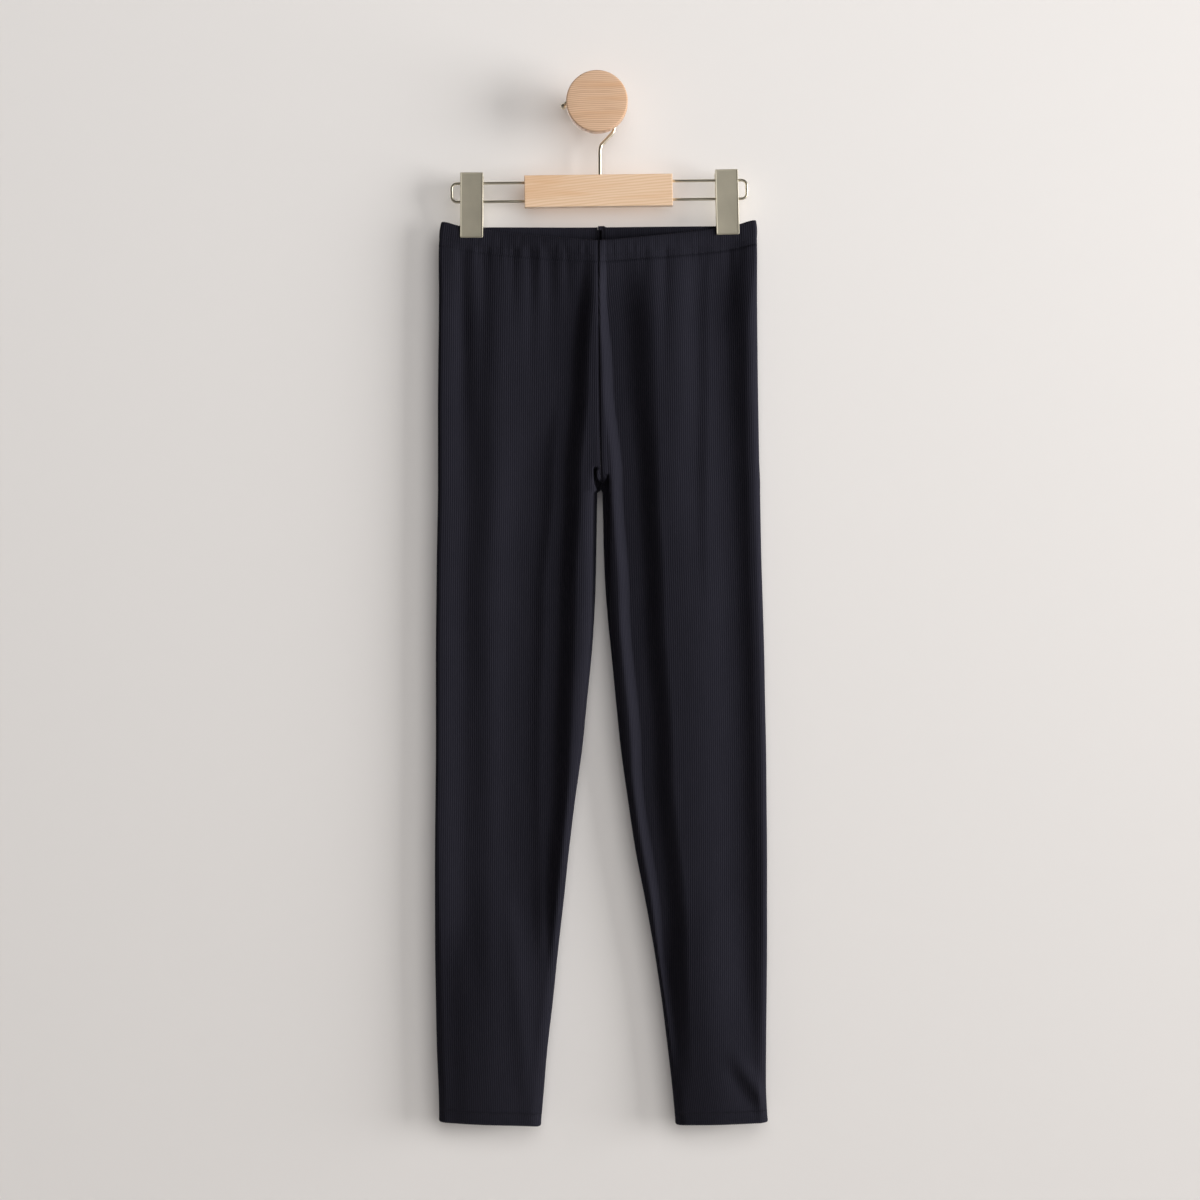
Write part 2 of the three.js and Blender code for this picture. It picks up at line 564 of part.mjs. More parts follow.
// Hook: up from the bar, out to the right behind the disc, over the dowel and down to a ball tip
const hookFootHeight = barCentre.z + bar.height / 2 - bar.hookBore + 2 * seamGap;
const hookPoints = [onHanger(hook.stemX, hookFootHeight), ...hookNeck.map(({ x, z }) => onHanger(x, z))];
for (let i = 0; i <= hookArc.steps; i++) {
  const angle = THREE.MathUtils.degToRad(mix(hookArc.start, hookArc.end, i / hookArc.steps));
  const x = hook.arcX + hook.arcRadius * Math.cos(angle);
  hookPoints.push(onHanger(x, hook.arcZ + hook.arcRadius * Math.sin(angle)));
}
const tip = hookPoints[hookPoints.length - 1];
const ball = new THREE.SphereGeometry(hook.tipRadius, 12, 8).translate(tip.x, tip.y, tip.z);
const hookBody = solid(wire(hookPoints, hook.radius, 38)).add(solid(ball));
add(hanger, 'hanger_hook', geometryOf(hookBody), nickel);

// Clips: a front plate with side ears that ride on both wires, a back plate on a pin between them
const clip = {
  width: 24.4, height: 69.4, sheet: 1.2, lip: 3, top: 21.1, pinRadius: 1.2, lever: 11, leverDrop: 2,
};
const ear = { top: 16, foot: -16, backTop: 4, backFoot: -5 };
const spring = { radius: 2.9, halfLength: 4.5 };
const clipPlaces = { left: -135, right: 136.5 };
const jaw = casingHalfDepth + seamGap;
const halfWidth = clip.width / 2;
function frontPlate() {
  const bottom = clip.top - clip.height;
  const lipFoot = clip.top - clip.sheet;
  let plate = box(-halfWidth, halfWidth, -jaw - clip.sheet, -jaw, bottom, clip.top);
  plate = plate.add(box(-halfWidth, halfWidth, -jaw - clip.sheet, -jaw + clip.lip, lipFoot, clip.top));
  for (const x of [-halfWidth, halfWidth - clip.sheet]) {
    plate = plate.add(box(x, x + clip.sheet, -jaw - clip.sheet, jaw - 2 * seamGap, ear.foot, ear.top));
  }
  for (const height of [-frameWire.spread, frameWire.spread]) {
    plate = plate.subtract(rod('x', -clip.width, clip.width, frameWire.radius + seamGap, 0, height));
  }
  return plate.subtract(rod('x', -clip.width, clip.width, clip.pinRadius + seamGap, 0, 0));
}
function backPlate() {
  const bottom = clip.top - clip.height;
  const side = new THREE.Shape();
  side.moveTo(jaw, bottom);
  side.lineTo(jaw + clip.sheet, bottom);
  side.lineTo(jaw + clip.sheet, 0);
  side.lineTo(clip.lever + clip.sheet, clip.top - clip.leverDrop);
  side.lineTo(clip.lever, clip.top - clip.leverDrop);
  side.lineTo(jaw, 0);
  const sheet = new THREE.ExtrudeGeometry(side, { depth: clip.width, bevelEnabled: false });
  sheet.applyMatrix4(new THREE.Matrix4().set(0, 0, 1, -halfWidth, 1, 0, 0, 0, 0, 1, 0, 0, 0, 0, 0, 1));
  let plate = solid(sheet);
  const earX = halfWidth - 2 * clip.sheet - 2 * seamGap;
  for (const x of [-earX, earX - clip.sheet]) {
    plate = plate.add(box(x, x + clip.sheet, -jaw / 2, jaw + clip.sheet / 2, ear.backFoot, ear.backTop));
  }
  return plate.subtract(rod('x', -clip.width, clip.width, clip.pinRadius + seamGap, 0, 0));
}
function springCoil() {
  const bore = clip.pinRadius + seamGap;
  const half = spring.halfLength;
  const corners = [[bore, -half], [spring.radius, -half], [spring.radius, half], [bore, half], [bore, -half]];
  const profile = corners.map(([radius, along]) => new THREE.Vector2(radius, along));
  const coil = new THREE.LatheGeometry(profile, 16);
  return geometryOf(solid(coil.rotateZ(Math.PI / 2)));
}
const pinHalf = halfWidth - seamGap;
for (const [side, x] of Object.entries(clipPlaces)) {
  const body = new THREE.Group();
  body.position.set(x, 0, 0);
  hanger.add(body);
  add(body, `clip_${side}_front`, geometryOf(frontPlate()), nickel);
  add(body, `clip_${side}_back`, geometryOf(backPlate()), nickel);
  add(body, `clip_${side}_pin`, geometryOf(rod('x', -pinHalf, pinHalf, clip.pinRadius, 0, 0)), nickel);
  add(body, `clip_${side}_spring`, springCoil(), nickel);
}

export default hanging;
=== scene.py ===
import json
import math

import bpy
import numpy as np
from mathutils import Matrix

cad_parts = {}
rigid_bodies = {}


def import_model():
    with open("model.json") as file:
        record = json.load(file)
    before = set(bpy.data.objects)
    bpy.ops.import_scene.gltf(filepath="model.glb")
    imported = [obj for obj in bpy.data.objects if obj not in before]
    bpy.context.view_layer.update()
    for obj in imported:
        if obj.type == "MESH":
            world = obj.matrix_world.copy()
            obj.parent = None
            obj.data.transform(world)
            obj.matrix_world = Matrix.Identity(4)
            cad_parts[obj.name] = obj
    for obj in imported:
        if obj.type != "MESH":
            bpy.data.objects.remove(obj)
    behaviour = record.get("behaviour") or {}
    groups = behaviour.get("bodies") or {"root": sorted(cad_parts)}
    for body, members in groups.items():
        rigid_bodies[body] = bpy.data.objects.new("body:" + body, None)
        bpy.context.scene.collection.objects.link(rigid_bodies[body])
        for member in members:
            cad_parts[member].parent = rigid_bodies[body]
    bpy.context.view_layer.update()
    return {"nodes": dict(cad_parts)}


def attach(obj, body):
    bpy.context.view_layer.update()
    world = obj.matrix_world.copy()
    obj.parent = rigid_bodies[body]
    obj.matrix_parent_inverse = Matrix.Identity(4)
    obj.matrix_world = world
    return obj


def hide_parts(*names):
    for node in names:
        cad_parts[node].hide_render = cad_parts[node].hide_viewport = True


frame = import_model()

# Wall peg: a round knob turned from beech, with a softened rim and a blind hole in its back, glued on a
# dowel that stands out of the wall. The wood is bare and lightly oiled, its grain level across the face.
MM = 0.001


class Value:
    """A node's output socket that takes part in Python arithmetic."""

    def __init__(self, finish, socket):
        self.finish = finish
        self.socket = socket

    def __add__(self, other):
        return self.finish.maths("ADD", self, other)

    def __radd__(self, other):
        return self.finish.maths("ADD", other, self)

    def __sub__(self, other):
        return self.finish.maths("SUBTRACT", self, other)

    def __rsub__(self, other):
        return self.finish.maths("SUBTRACT", other, self)

    def __mul__(self, other):
        return self.finish.maths("MULTIPLY", self, other)

    def __rmul__(self, other):
        return self.finish.maths("MULTIPLY", other, self)

    def __truediv__(self, other):
        return self.finish.maths("DIVIDE", self, other)

    def __pow__(self, other):
        return self.finish.maths("POWER", self, other)

    def __abs__(self):
        return self.finish.maths("ABSOLUTE", self)

    def sine(self):
        return self.finish.maths("SINE", self)

    def fraction(self):
        return self.finish.maths("FRACT", self)


class Finish:
    """A material. Constants go on the shader's own sockets, and what varies is linked to them."""

    def __init__(self, name, constants):
        self.material = bpy.data.materials.new(name)
        self.material.use_nodes = True
        self.tree = self.material.node_tree
        self.shader = self.tree.nodes["Principled BSDF"]
        for socket, value in constants.items():
            self.shader.inputs[socket].default_value = value

    def node(self, kind, settings=None, sockets=None, out=0):
        node = self.tree.nodes.new(kind)
        for key, value in (settings or {}).items():
            if key == "stops":
                for stop, (position, level) in zip(node.color_ramp.elements, value):
                    stop.position = position
                    stop.color = (level, level, level, 1)
            else:
                setattr(node, key, value)
        for key, value in (sockets or {}).items():
            self.feed(node.inputs[key], value)
        return Value(self, node.outputs[out])

    def maths(self, operation, *operands):
        return self.node("ShaderNodeMath", {"operation": operation}, dict(enumerate(operands)))

    def feed(self, socket, value):
        if isinstance(value, Value):
            self.tree.links.new(value.socket, socket)
        else:
            socket.default_value = value

    def set(self, socket, value):
        self.feed(self.shader.inputs[socket], value)

    def parts(self, vector):
        return [self.node("ShaderNodeSeparateXYZ", {}, {0: vector}, axis) for axis in "XYZ"]

    def noise(self, vector, stretch, scale, detail=2.0):
        place = self.node("ShaderNodeVectorMath", {"operation": "MULTIPLY"}, {0: vector, 1: stretch})
        sockets = {"Vector": place, "Scale": scale, "Detail": detail}
        return self.node("ShaderNodeTexNoise", {}, sockets)

    def steps(self, value, low, high):
        stops = {"stops": [(low, 0.0), (high, 1.0)]}
        return self.node("ShaderNodeValToRGB", stops, {0: value})

    def blend(self, factor, first, second):
        return self.node("ShaderNodeMix", {"data_type": "RGBA"}, {0: factor, 6: first, 7: second}, 2)

    def bump(self, height, distance, strength=1.0):
        sockets = {"Height": height, "Distance": distance, "Strength": strength}
        self.set("Normal", self.node("ShaderNodeBump", {}, sockets))


def paint(red, green, blue):
    """A colour given as a screen shows it, as the renderer's linear light."""
    linear = [((c / 255 + 0.055) / 1.055) ** 2.4 if c > 10 else c / 3295 for c in (red, green, blue)]
    return (*linear, 1.0)


def wood(name, pale, dark, streak, pitch, bow, slant):
    """Wood with level growth lines that bow and slant across the face, and long pores."""
    finish = Finish(name, {"Specular IOR Level": 0.3, "Sheen Weight": 0.05})
    place = finish.node("ShaderNodeTexCoord", out="Object")
    x, y, z = finish.parts(place)
    wander = finish.noise(place, (6, 20, 30), 1.2)
    level = z - bow * x * x - slant * x + (wander - 0.5) * pitch * 3
    line = (level * (2 * math.pi / pitch) + finish.noise(place, (8, 8, 60), 4) * 3).sine() * 0.5 + 0.5
    fleck = finish.noise(place, (18, 60, 900), 1, 3)
    broad = finish.noise(place, (9, 30, 90), 1)
    colour = finish.blend(line * line * 0.75, pale, dark)
    colour = finish.blend(finish.steps(fleck, 0.52, 0.75) * 0.5, colour, dark)
    colour = finish.blend(finish.steps(broad, 0.5, 0.72) * 0.55, colour, streak)
    finish.set("Base Color", colour)
    finish.set("Roughness", 0.5 + fleck * 0.18)
    finish.bump(fleck - line * 0.4, 0.0002, 0.3)
    return finish


def mesh_of(name, points, faces, finish, smooth=True):
    """A mesh object from points in millimetres."""
    mesh = bpy.data.meshes.new(name)
    mesh.from_pydata((np.asarray(points, float) * MM).tolist(), [], faces)
    mesh.polygons.foreach_set("use_smooth", [smooth] * len(mesh.polygons))
    mesh.materials.append(finish.material)
    mesh.update()
    piece = bpy.data.objects.new(name, mesh)
    bpy.context.scene.collection.objects.link(piece)
    return piece


def skin(rings, around, base=0):
    """Faces of a closed skin over rings of equal count, one after another, with both ends filled."""
    at = lambda i, j: base + i * around + j % around
    faces = []
    for i in range(rings - 1):
        faces += [(at(i, j), at(i, j + 1), at(i + 1, j + 1), at(i + 1, j)) for j in range(around)]
    faces.append([at(0, j) for j in reversed(range(around))])
    faces.append([at(rings - 1, j) for j in range(around)])
    return faces


def finished(piece, slot, *nodes):
    """The piece hangs on the wall with the rest and stands for its own nodes. Its slot is not used."""
    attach(piece, "root")
    if nodes:
        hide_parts(*nodes)
    return piece


def turned(name, profile, around, finish):
    """A piece turned about the Y axis, from (radius, y) points that start and end on the axis."""
    angles = np.arange(around) * 2 * math.pi / around
    ring = [(r * np.cos(angles), np.full(around, y), r * np.sin(angles)) for r, y in profile[1:-1]]
    points = [(0, profile[0][1], 0)] + [p for circle in ring for p in zip(*circle)] + [(0, profile[-1][1], 0)]
    at = lambda i, j: 1 + i * around + j % around
    faces = [(0, at(0, j + 1), at(0, j)) for j in range(around)]
    for i in range(len(ring) - 1):
        faces += [(at(i, j), at(i, j + 1), at(i + 1, j + 1), at(i + 1, j)) for j in range(around)]
    last = len(ring) - 1
    faces += [(at(last, j), at(last, j + 1), len(points) - 1) for j in range(around)]
    return mesh_of(name, points, faces, finish)


def rounded(corner, start, end, radius, steps=5):
    """Points of a quarter round, from one straight run's direction to the next."""
    (cr, cy) = corner
    turn = [start + (end - start) * k / steps for k in range(steps + 1)]
    return [(cr + radius * math.cos(math.radians(a)), cy + radius * math.sin(math.radians(a))) for a in turn]


PEG = {"radius": 32.5, "front": -58, "back": -40, "rim": 1.8, "stem": 7.5, "socket": -48.3, "stem end": -48}
beech = wood("oiled_beech", paint(208, 173, 143), paint(170, 134, 104), paint(198, 152, 112),
             pitch=0.0021, bow=-1.6, slant=0.02)
knob_rim = PEG["radius"] - PEG["rim"]
knob = [(0, PEG["front"]), (knob_rim * 0.5, PEG["front"])]
knob += rounded((knob_rim, PEG["front"] + PEG["rim"]), -90, 0, PEG["rim"])
knob += rounded((knob_rim, PEG["back"] - PEG["rim"]), 0, 90, PEG["rim"])
knob += [(PEG["stem"] + 0.3, PEG["back"]), (PEG["stem"] + 0.3, PEG["socket"]), (0, PEG["socket"])]
finished(turned("peg_knob", knob, 96, beech), "peg_wood", "peg_disc")
dowel = [(0, PEG["stem end"]), (PEG["stem"] - 0.8, PEG["stem end"]), (PEG["stem"], PEG["stem end"] + 0.8)]
dowel += [(PEG["stem"], -24), (PEG["stem"], -0.01), (0, -0.01)]
finished(turned("peg_dowel", dowel, 48, beech), "peg_wood", "peg_stem")

# Hanger bar: a planed slat of pale wood with eased edges, bored in its ends for the wires and in its top
# for the hook. Its grain slants a little, with two darker streaks near the right end.
slat = wood("planed_slat", paint(220, 189, 159), paint(203, 168, 134), paint(204, 160, 118),
            pitch=0.0030, bow=0.0, slant=0.10)
bar = frame["nodes"]["hanger_bar"]
bar.data.materials.clear()
bar.data.materials.append(slat.material)

# Hook and wire loops: drawn steel wire, nickel plated and satin brushed. The hook is screwed into the bar
# and passes over the dowel to a ball tip; each loop is bent with two round corners and pushed into the bar.


def plated(name, brushing, rough):
    """Satin nickel plate, brushed along one direction."""
    finish = Finish(name, {"Metallic": 1.0, "Anisotropic": 0.3})
    place = finish.node("ShaderNodeTexCoord", out="Object")
    grain = finish.noise(place, brushing, 1, 3)
    cloud = finish.noise(place, (60, 60, 60), 1)
    finish.set("Base Color", finish.blend(cloud, paint(230, 222, 201), paint(212, 205, 186)))
    finish.set("Roughness", rough + grain * 0.16)
    finish.bump(grain, 0.00005, 0.25)
    return finish


def tube(name, path, radius, finish, sides=20):
    """A round wire with domed ends that follows points in the garment's plane."""
    path = np.asarray(path, float)
    along = np.gradient(path, axis=0)
    along /= np.linalg.norm(along, axis=1)[:, None]
    across = np.cross(along, (0, 1, 0))
    turn = np.arange(sides) * 2 * math.pi / sides
    points = []
    for centre, side in zip(path, across):
        points += [centre + radius * (math.cos(a) * side + math.sin(a) * np.array((0, 1, 0))) for a in turn]
    return mesh_of(name, points, skin(len(path), sides), finish)


HANG_PLANE = -25
TILT = math.radians(0.7)
BAR_CENTRE = np.array((1.6, HANG_PLANE, -90.7))
satin = plated("satin_nickel_wire", (400, 400, 400), 0.28)


def on_hanger(x, y, z):
    """A point measured from the middle of the bar, with the hanger's slight tilt."""
    turned_x = x * math.cos(TILT) - z * math.sin(TILT)
    turned_z = x * math.sin(TILT) + z * math.cos(TILT)
    return BAR_CENTRE + np.array((turned_x, y, turned_z))


def smooth_path(points, steps):
    """A smooth curve through points, by Catmull-Rom between each pair."""
    p = np.asarray(points, float)
    p = np.vstack([2 * p[0] - p[1], p, 2 * p[-1] - p[-2]])
    t = np.linspace(0, 1, steps, endpoint=False)[:, None]
    runs = []
    for a, b, c, d in zip(p, p[1:], p[2:], p[3:]):
        runs.append(0.5 * (2 * b + (c - a) * t + (2 * a - 5 * b + 4 * c - d) * t**2
                           + (3 * b - a - 3 * c + d) * t**3))
    return np.vstack([*runs, p[-2:-1]])


HOOK = {"radius": 2.0, "arc": 29.8, "x": -10.8, "z": -17, "stem": 3.2, "tip": 3.4}
hook_path = [(HOOK["stem"], z) for z in (-87, -78, -68, -57, -47.5)]
hook_path += [(4.6, -41.6), (8.2, -37.6), (12, -33.6)]
for turn in np.radians(np.linspace(-22, 146, 15)):
    hook_path.append((HOOK["x"] + HOOK["arc"] * math.cos(turn), HOOK["z"] + HOOK["arc"] * math.sin(turn)))
hook_line = smooth_path([(x, HANG_PLANE, z) for x, z in hook_path], 5)
hook = tube("hook_wire", hook_line, HOOK["radius"], satin)
finished(hook, "satin_nickel", "hanger_hook")
tip = hook_line[-1]
tip_turns = np.radians(np.linspace(-90, 90, 17))
tip_arc = [(HOOK["tip"] * math.cos(a), HOOK["tip"] * math.sin(a)) for a in tip_turns]
ball = turned("hook_ball", [(0, tip_arc[0][1]), *tip_arc[1:-1], (0, tip_arc[-1][1])], 28, satin)
ball.data.transform(Matrix.Translation([c * MM for c in tip]))
finished(ball, "satin_nickel")

WIRE = {"radius": 1.5, "spread": 9.85, "corner": 5.5, "start": 49.4}
for side, sign, end in (("left", -1, -157.8), ("right", 1, 159.4)):
    turn_x = end - sign * (WIRE["radius"] + WIRE["corner"])
    corner_z = WIRE["spread"] - WIRE["corner"]
    bend = np.radians(np.linspace(90, 0, 9))
    top = [(turn_x + sign * WIRE["corner"] * math.cos(a), corner_z + WIRE["corner"] * math.sin(a))
           for a in bend]
    run = [(sign * WIRE["start"], WIRE["spread"]), (sign * 100, WIRE["spread"])] + top
    outline_points = run + [(x, -z) for x, z in reversed(run)]
    loop = tube("wire_loop_" + side, [on_hanger(x, 0, z) for x, z in outline_points], WIRE["radius"], satin)
    finished(loop, "satin_nickel", "hanger_loop_" + side)

# Clips: each is a front plate pressed from 1.2 mm steel with a turned-in top lip and folded edges, a back
# plate with a thumb lever, a pin through both and a coiled spring. All nickel plated and brushed lengthways.
CLIP = {"width": 24.4, "top": 21.1, "height": 69.4, "sheet": 1.2, "jaw": 3.5, "fold": 2.6, "bend": 0.7,
        "pin": 1.2, "lever": 11}
SPRING = {"turns": 6, "length": 8.4, "radius": 2.3, "wire": 0.5}
CLIP_PLACES = {"left": (-135.0, 0.9), "right": (136.5, -0.7)}
brushed = plated("brushed_nickel_plate", (90, 900, 2600), 0.5)
pressed = plated("pressed_clip_back", (900, 900, 60), 0.36)


def pan(width, top, bottom, front, depth, sheet, bend):
    """A plate folded back round its edges: its outer skin, as rings from the face's middle to the rim."""
    rings = []
    half = width / 2
    middle = ((top + bottom) / 2, (top - bottom) / 2)
    corner = 1.2
    for inset, y in [(bend * 2.5, front + 0.25), (bend * 1.6, front + 0.22), (bend, front),
                     (bend * 0.5, front), (bend * 0.15, front + bend * 0.3), (0, front + bend),
                     (0, front + depth), (sheet, front + depth), (sheet, front + sheet + 0.3)]:
        ring = []
        w, h = half - inset, middle[1] - inset
        r = max(0.15, corner - inset)
        corners = ((w - r, h - r, 0), (-w + r, h - r, 90), (-w + r, -h + r, 180), (w - r, -h + r, 270))
        for cx, cz, start in corners:
            ring += [(cx + r * math.cos(math.radians(start + k * 22.5)), y,
                      middle[0] + cz + r * math.sin(math.radians(start + k * 22.5))) for k in range(5)]
        rings.append(ring)
    return rings


def joined_rings(name, rings, place, finish):
    """A closed skin from rings of points that are placed one by one."""
    points = [place(*p) for ring in rings for p in ring]
    faces = [face[::-1] for face in skin(len(rings), len(rings[0]))]
    return mesh_of(name, points, faces, finish)


def bent_plate(name, side_line, half_width, place, finish):
    """A sheet of the clip's thickness that follows (y, z) points and is as wide as the clip."""
    line = np.asarray(side_line, float)
    along = np.gradient(line, axis=0)
    along /= np.linalg.norm(along, axis=1)[:, None]
    out = np.stack([along[:, 1], -along[:, 0]], axis=1)
    ease = 0.35
    section = [(-half_width, ease), (-half_width + ease, 0), (half_width - ease, 0), (half_width, ease),
               (half_width, CLIP["sheet"] - ease), (half_width - ease, CLIP["sheet"]),
               (-half_width + ease, CLIP["sheet"]), (-half_width, CLIP["sheet"] - ease)]
    rings = [[(x, y + t * oy, z + t * oz) for x, t in section] for (y, z), (oy, oz) in zip(line, out)]
    return joined_rings(name, rings, place, finish)


for side, (middle, lean) in CLIP_PLACES.items():
    lean = math.radians(lean)

    def clip_place(x, y, z, middle=middle, lean=lean):
        """A point of the clip, which leans a little in the hanger's plane."""
        across = middle + x * math.cos(lean) + z * math.sin(lean)
        return on_hanger(across, y, z * math.cos(lean) - x * math.sin(lean))

    foot = CLIP["top"] - CLIP["height"]
    face_y = -CLIP["jaw"] - CLIP["sheet"]
    rings = pan(CLIP["width"], CLIP["top"], foot, face_y, CLIP["fold"], CLIP["sheet"], CLIP["bend"])
    front = joined_rings(f"clip_{side}_face", rings, clip_place, brushed)
    finished(front, "satin_nickel", f"clip_{side}_front")
    jaw, lever = CLIP["jaw"], CLIP["lever"]
    back_line = [(jaw, foot), (jaw, foot + 20), (jaw, -3), (jaw + 0.3, 0), (jaw + 1.6, 4),
                 (lever - 0.8, CLIP["top"] - 4), (lever, CLIP["top"] - 2)]
    back = bent_plate(f"clip_{side}_lever", back_line, CLIP["width"] / 2, clip_place, pressed)
    finished(back, "satin_nickel", f"clip_{side}_back")
    for x in (-CLIP["width"] / 2 + 0.2, CLIP["width"] / 2 - 1.4):
        ear_line = [(x, z) for z in (-15, -12, 12, 15)]
        reach = [2.2, 2.8, 2.8, 2.2]
        ear = [[(x, face_y + 2, z), (x + 1.2, face_y + 2, z), (x + 1.2, r, z), (x, r, z)]
               for (_, z), r in zip(ear_line, reach)]
        ear_piece = joined_rings(f"clip_{side}_ear_{'a' if x < 0 else 'b'}", ear, clip_place, pressed)
        finished(ear_piece, "satin_nickel")
    pin_half = CLIP["width"] / 2 - 0.3
    pin_path = [clip_place(x, 0, 0) for x in np.linspace(-pin_half, pin_half, 6)]
    finished(tube(f"clip_{side}_rivet", pin_path, CLIP["pin"], satin, 14), "satin_nickel", f"clip_{side}_pin")
    coil = []
    last_turn = SPRING["turns"] * 2 * math.pi
    for turn in np.linspace(0, last_turn, 110):
        x = SPRING["length"] * turn / last_turn - SPRING["length"] / 2
        coil.append(clip_place(x, SPRING["radius"] * math.cos(turn), SPRING["radius"] * math.sin(turn)))
    spring = tube(f"clip_{side}_coil", coil, SPRING["wire"], satin, 8)
    finished(spring, "satin_nickel", f"clip_{side}_spring")

# Leg panels: two pieces of fine rib knit in viscose and elastane, one for each leg, cut from the waist to the
# hem with no side seam. They meet at the centre seams and each is closed by its inseam on the front. The ribs
# run with the outer side and are cut off at the seams. The cloth is about 1.2 mm thick with its ribs.
SEAM_GAP = 0.3
WAIST_TOP = -122.6
WAIST_DIP = {"front": 21.4, "back": 5.8}
CASING_HEIGHT = 25.5
CASING_LEAN = 3.5
HEM_HEIGHT = 12.5
CROTCH = -400.4
HEM_LEVEL = -1083
RIB = {"pitch": 2.3, "depth": 0.42, "columns": 3}
CLOTH = 1.3
THIN_SIDE = {"share": 0.42, "flat": 14, "run": 56, "edge": 0.3, "fade": 400}
OUTLINE = {
    "z": (-121, -148, -207, -313, -377, -400.4, -409, -412, -473, -526, -579, -633, -686, -739, -792,
          -846, -899, -952, -1005, -1048, -1086),
    "left outer": (-165.4, -168.3, -168.3, -169.3, -169.3, -169.3, -169.3, -169.3, -170.4, -171, -171.5,
                   -171.5, -171.5, -172, -172.5, -172.5, -172.3, -171.5, -170.4, -168.6, -167.8),
    "left inner": (0.85, 0.85, 1.25, 2.15, 3.15, 4.15, 4.2, 0.3, -0.7, -2.1, -5.3, -10.7, -16, -23.4,
                   -29.8, -35.5, -41.5, -46.9, -53, -56.6, -60),
    "right inner": (1.15, 1.15, 1.55, 2.45, 3.45, 4.45, 4.5, 5.9, 7.2, 9.9, 14.9, 20.2, 25.6, 33, 41,
                    51.5, 61, 69, 75.6, 80.5, 84),
    "right outer": (169.3, 170.4, 170.4, 171.5, 172.6, 173.6, 173.6, 173.6, 174.7, 176.3, 177.9, 178.9,
                    180, 180.5, 181, 181, 181, 180.5, 180, 180, 182),
    "half depth": (9, 9, 10, 11.5, 12, 12, 12, 12, 12, 12, 11.5, 11, 10.5, 10, 9.6, 9.2, 8.8, 8.4, 8,
                   7.4, 6.8),
}
LEGS = {
    "left": {"sign": -1, "outer": "left outer", "inner": "left inner", "drop": 0.9,
             "hem": (2.0, -3.2), "seam": 4.0, "notch": -384, "notch edge": 7.5, "tongue": 3.9,
             "thin side": True},
    "right": {"sign": 1, "outer": "right outer", "inner": "right inner", "drop": -0.9,
              "hem": (1.5, -1.5), "seam": 7.0, "notch": -392, "notch edge": 8.4, "tongue": 6.2,
              "thin side": False},
}
FOLD_HEIGHTS = (-190, -292, -398, -526, -697, -888, -1048)
FOLDS = [
    # leg, layer, kind, drop, reach, return, from, to, and where its crest runs at the seven heights
    ("left", "front", "leftward", 11.0, 22, 90, -140, -960, (-2, -7, -15, -20, -26, -38, -46)),
    ("left", "front", "leftward", 8.0, 20, 28, -300, -930, (-37, -37, -44, -54, -59, -57, -50)),
    ("left", "front", "leftward", 2.0, 28, 28, -140, -1000, (-124, -114, -106, -112, -108, -110, -114)),
    ("left", "front", "ridge", 5.0, 42, 42, -820, -1250, (-110, -110, -110, -110, -112, -114, -115)),
    ("right", "front", "leftward", 2.2, 15, 16, -120, -560, (121, 121, 119, 118, 118, 118, 118)),
    ("right", "front", "leftward", 8.0, 32, 30, -110, -1080, (164, 169, 174, 179, 184, 187, 188)),
    ("right", "front", "ridge", 6.5, 40, 40, -820, -1250, (124, 124, 124, 124, 124, 124, 126)),
    ("left", "back", "leftward", 3.4, 24, 30, -175, -1000, (-112, -110, -104, -102, -106, -114, -124)),
    ("left", "back", "leftward", 7.0, 22, 70, -170, -960, (-14, -22, -30, -36, -48, -62, -76)),
    ("left", "back", "ridge", 4.0, 42, 42, -820, -1250, (-110, -110, -110, -110, -112, -114, -115)),
    ("right", "back", "rightward", 6.0, 16, 24, -170, -940, (12, 20, 28, 34, 50, 74, 94)),
    ("right", "back", "leftward", 6.0, 22, 24, -185, -1090, (76, 80, 84, 90, 102, 116, 126)),
    ("right", "back", "leftward", 3.4, 24, 30, -170, -1000, (146, 146, 144, 148, 154, 162, 166)),
]
VALLEYS = [
    # leg, layer, drop, reach of the left and right walls, from, to, and the two crests at the seven heights
    ("right", "front", 11.5, 12, 26, -125, -1090,
     (-2, 5, 15, 22.5, 35.5, 58, 71), (62, 65, 68, 73.5, 83, 98, 102)),
]
CREASES = [
    # leg, layer, drop, reach, and the two ends of a short slanting crease, as x and z
    ("right", "front", 4.2, 8, (148, -1014), (182, -1062)),
    ("right", "front", -1.6, 8, (142, -1030), (170, -1070)),
    ("left", "front", 1.6, 10, (-92, -850), (-72, -1070)),
    ("left", "back", 2.4, 9, (-100, -1000), (-66, -1058)),
    ("right", "back", 1.6, 10, (100, -985), (118, -1055)),
]
GATHERS = [
    # leg, layer, and for each long gather its place, drop, width and length
    ("left", "front", (-144, 1.8, 7.5, 330), (-120, 1.6, 8.5, 270), (-89.5, 0.9, 5.5, 110),
     (-70, 1.5, 6, 190), (-49.5, 1.6, 7.5, 170), (-31, 1.0, 5, 90)),
    ("right", "front", (50, 0.7, 6, 60), (72.5, 1.2, 6.5, 190), (103, 0.7, 9, 300), (140, 0.8, 5, 70)),
    ("left", "back", (-146, 1.2, 6, 150), (-124, 0.9, 7, 120), (-96, 1.3, 6, 180), (-70, 0.9, 6, 100),
     (-44, 1.1, 7, 140), (-20, 0.8, 5, 80)),
    ("right", "back", (24, 0.8, 5, 90), (52, 1.2, 7, 160), (84, 0.9, 6, 110), (108, 1.2, 7, 170),
     (134, 0.9, 6, 120), (154, 0.8, 5, 90)),
]
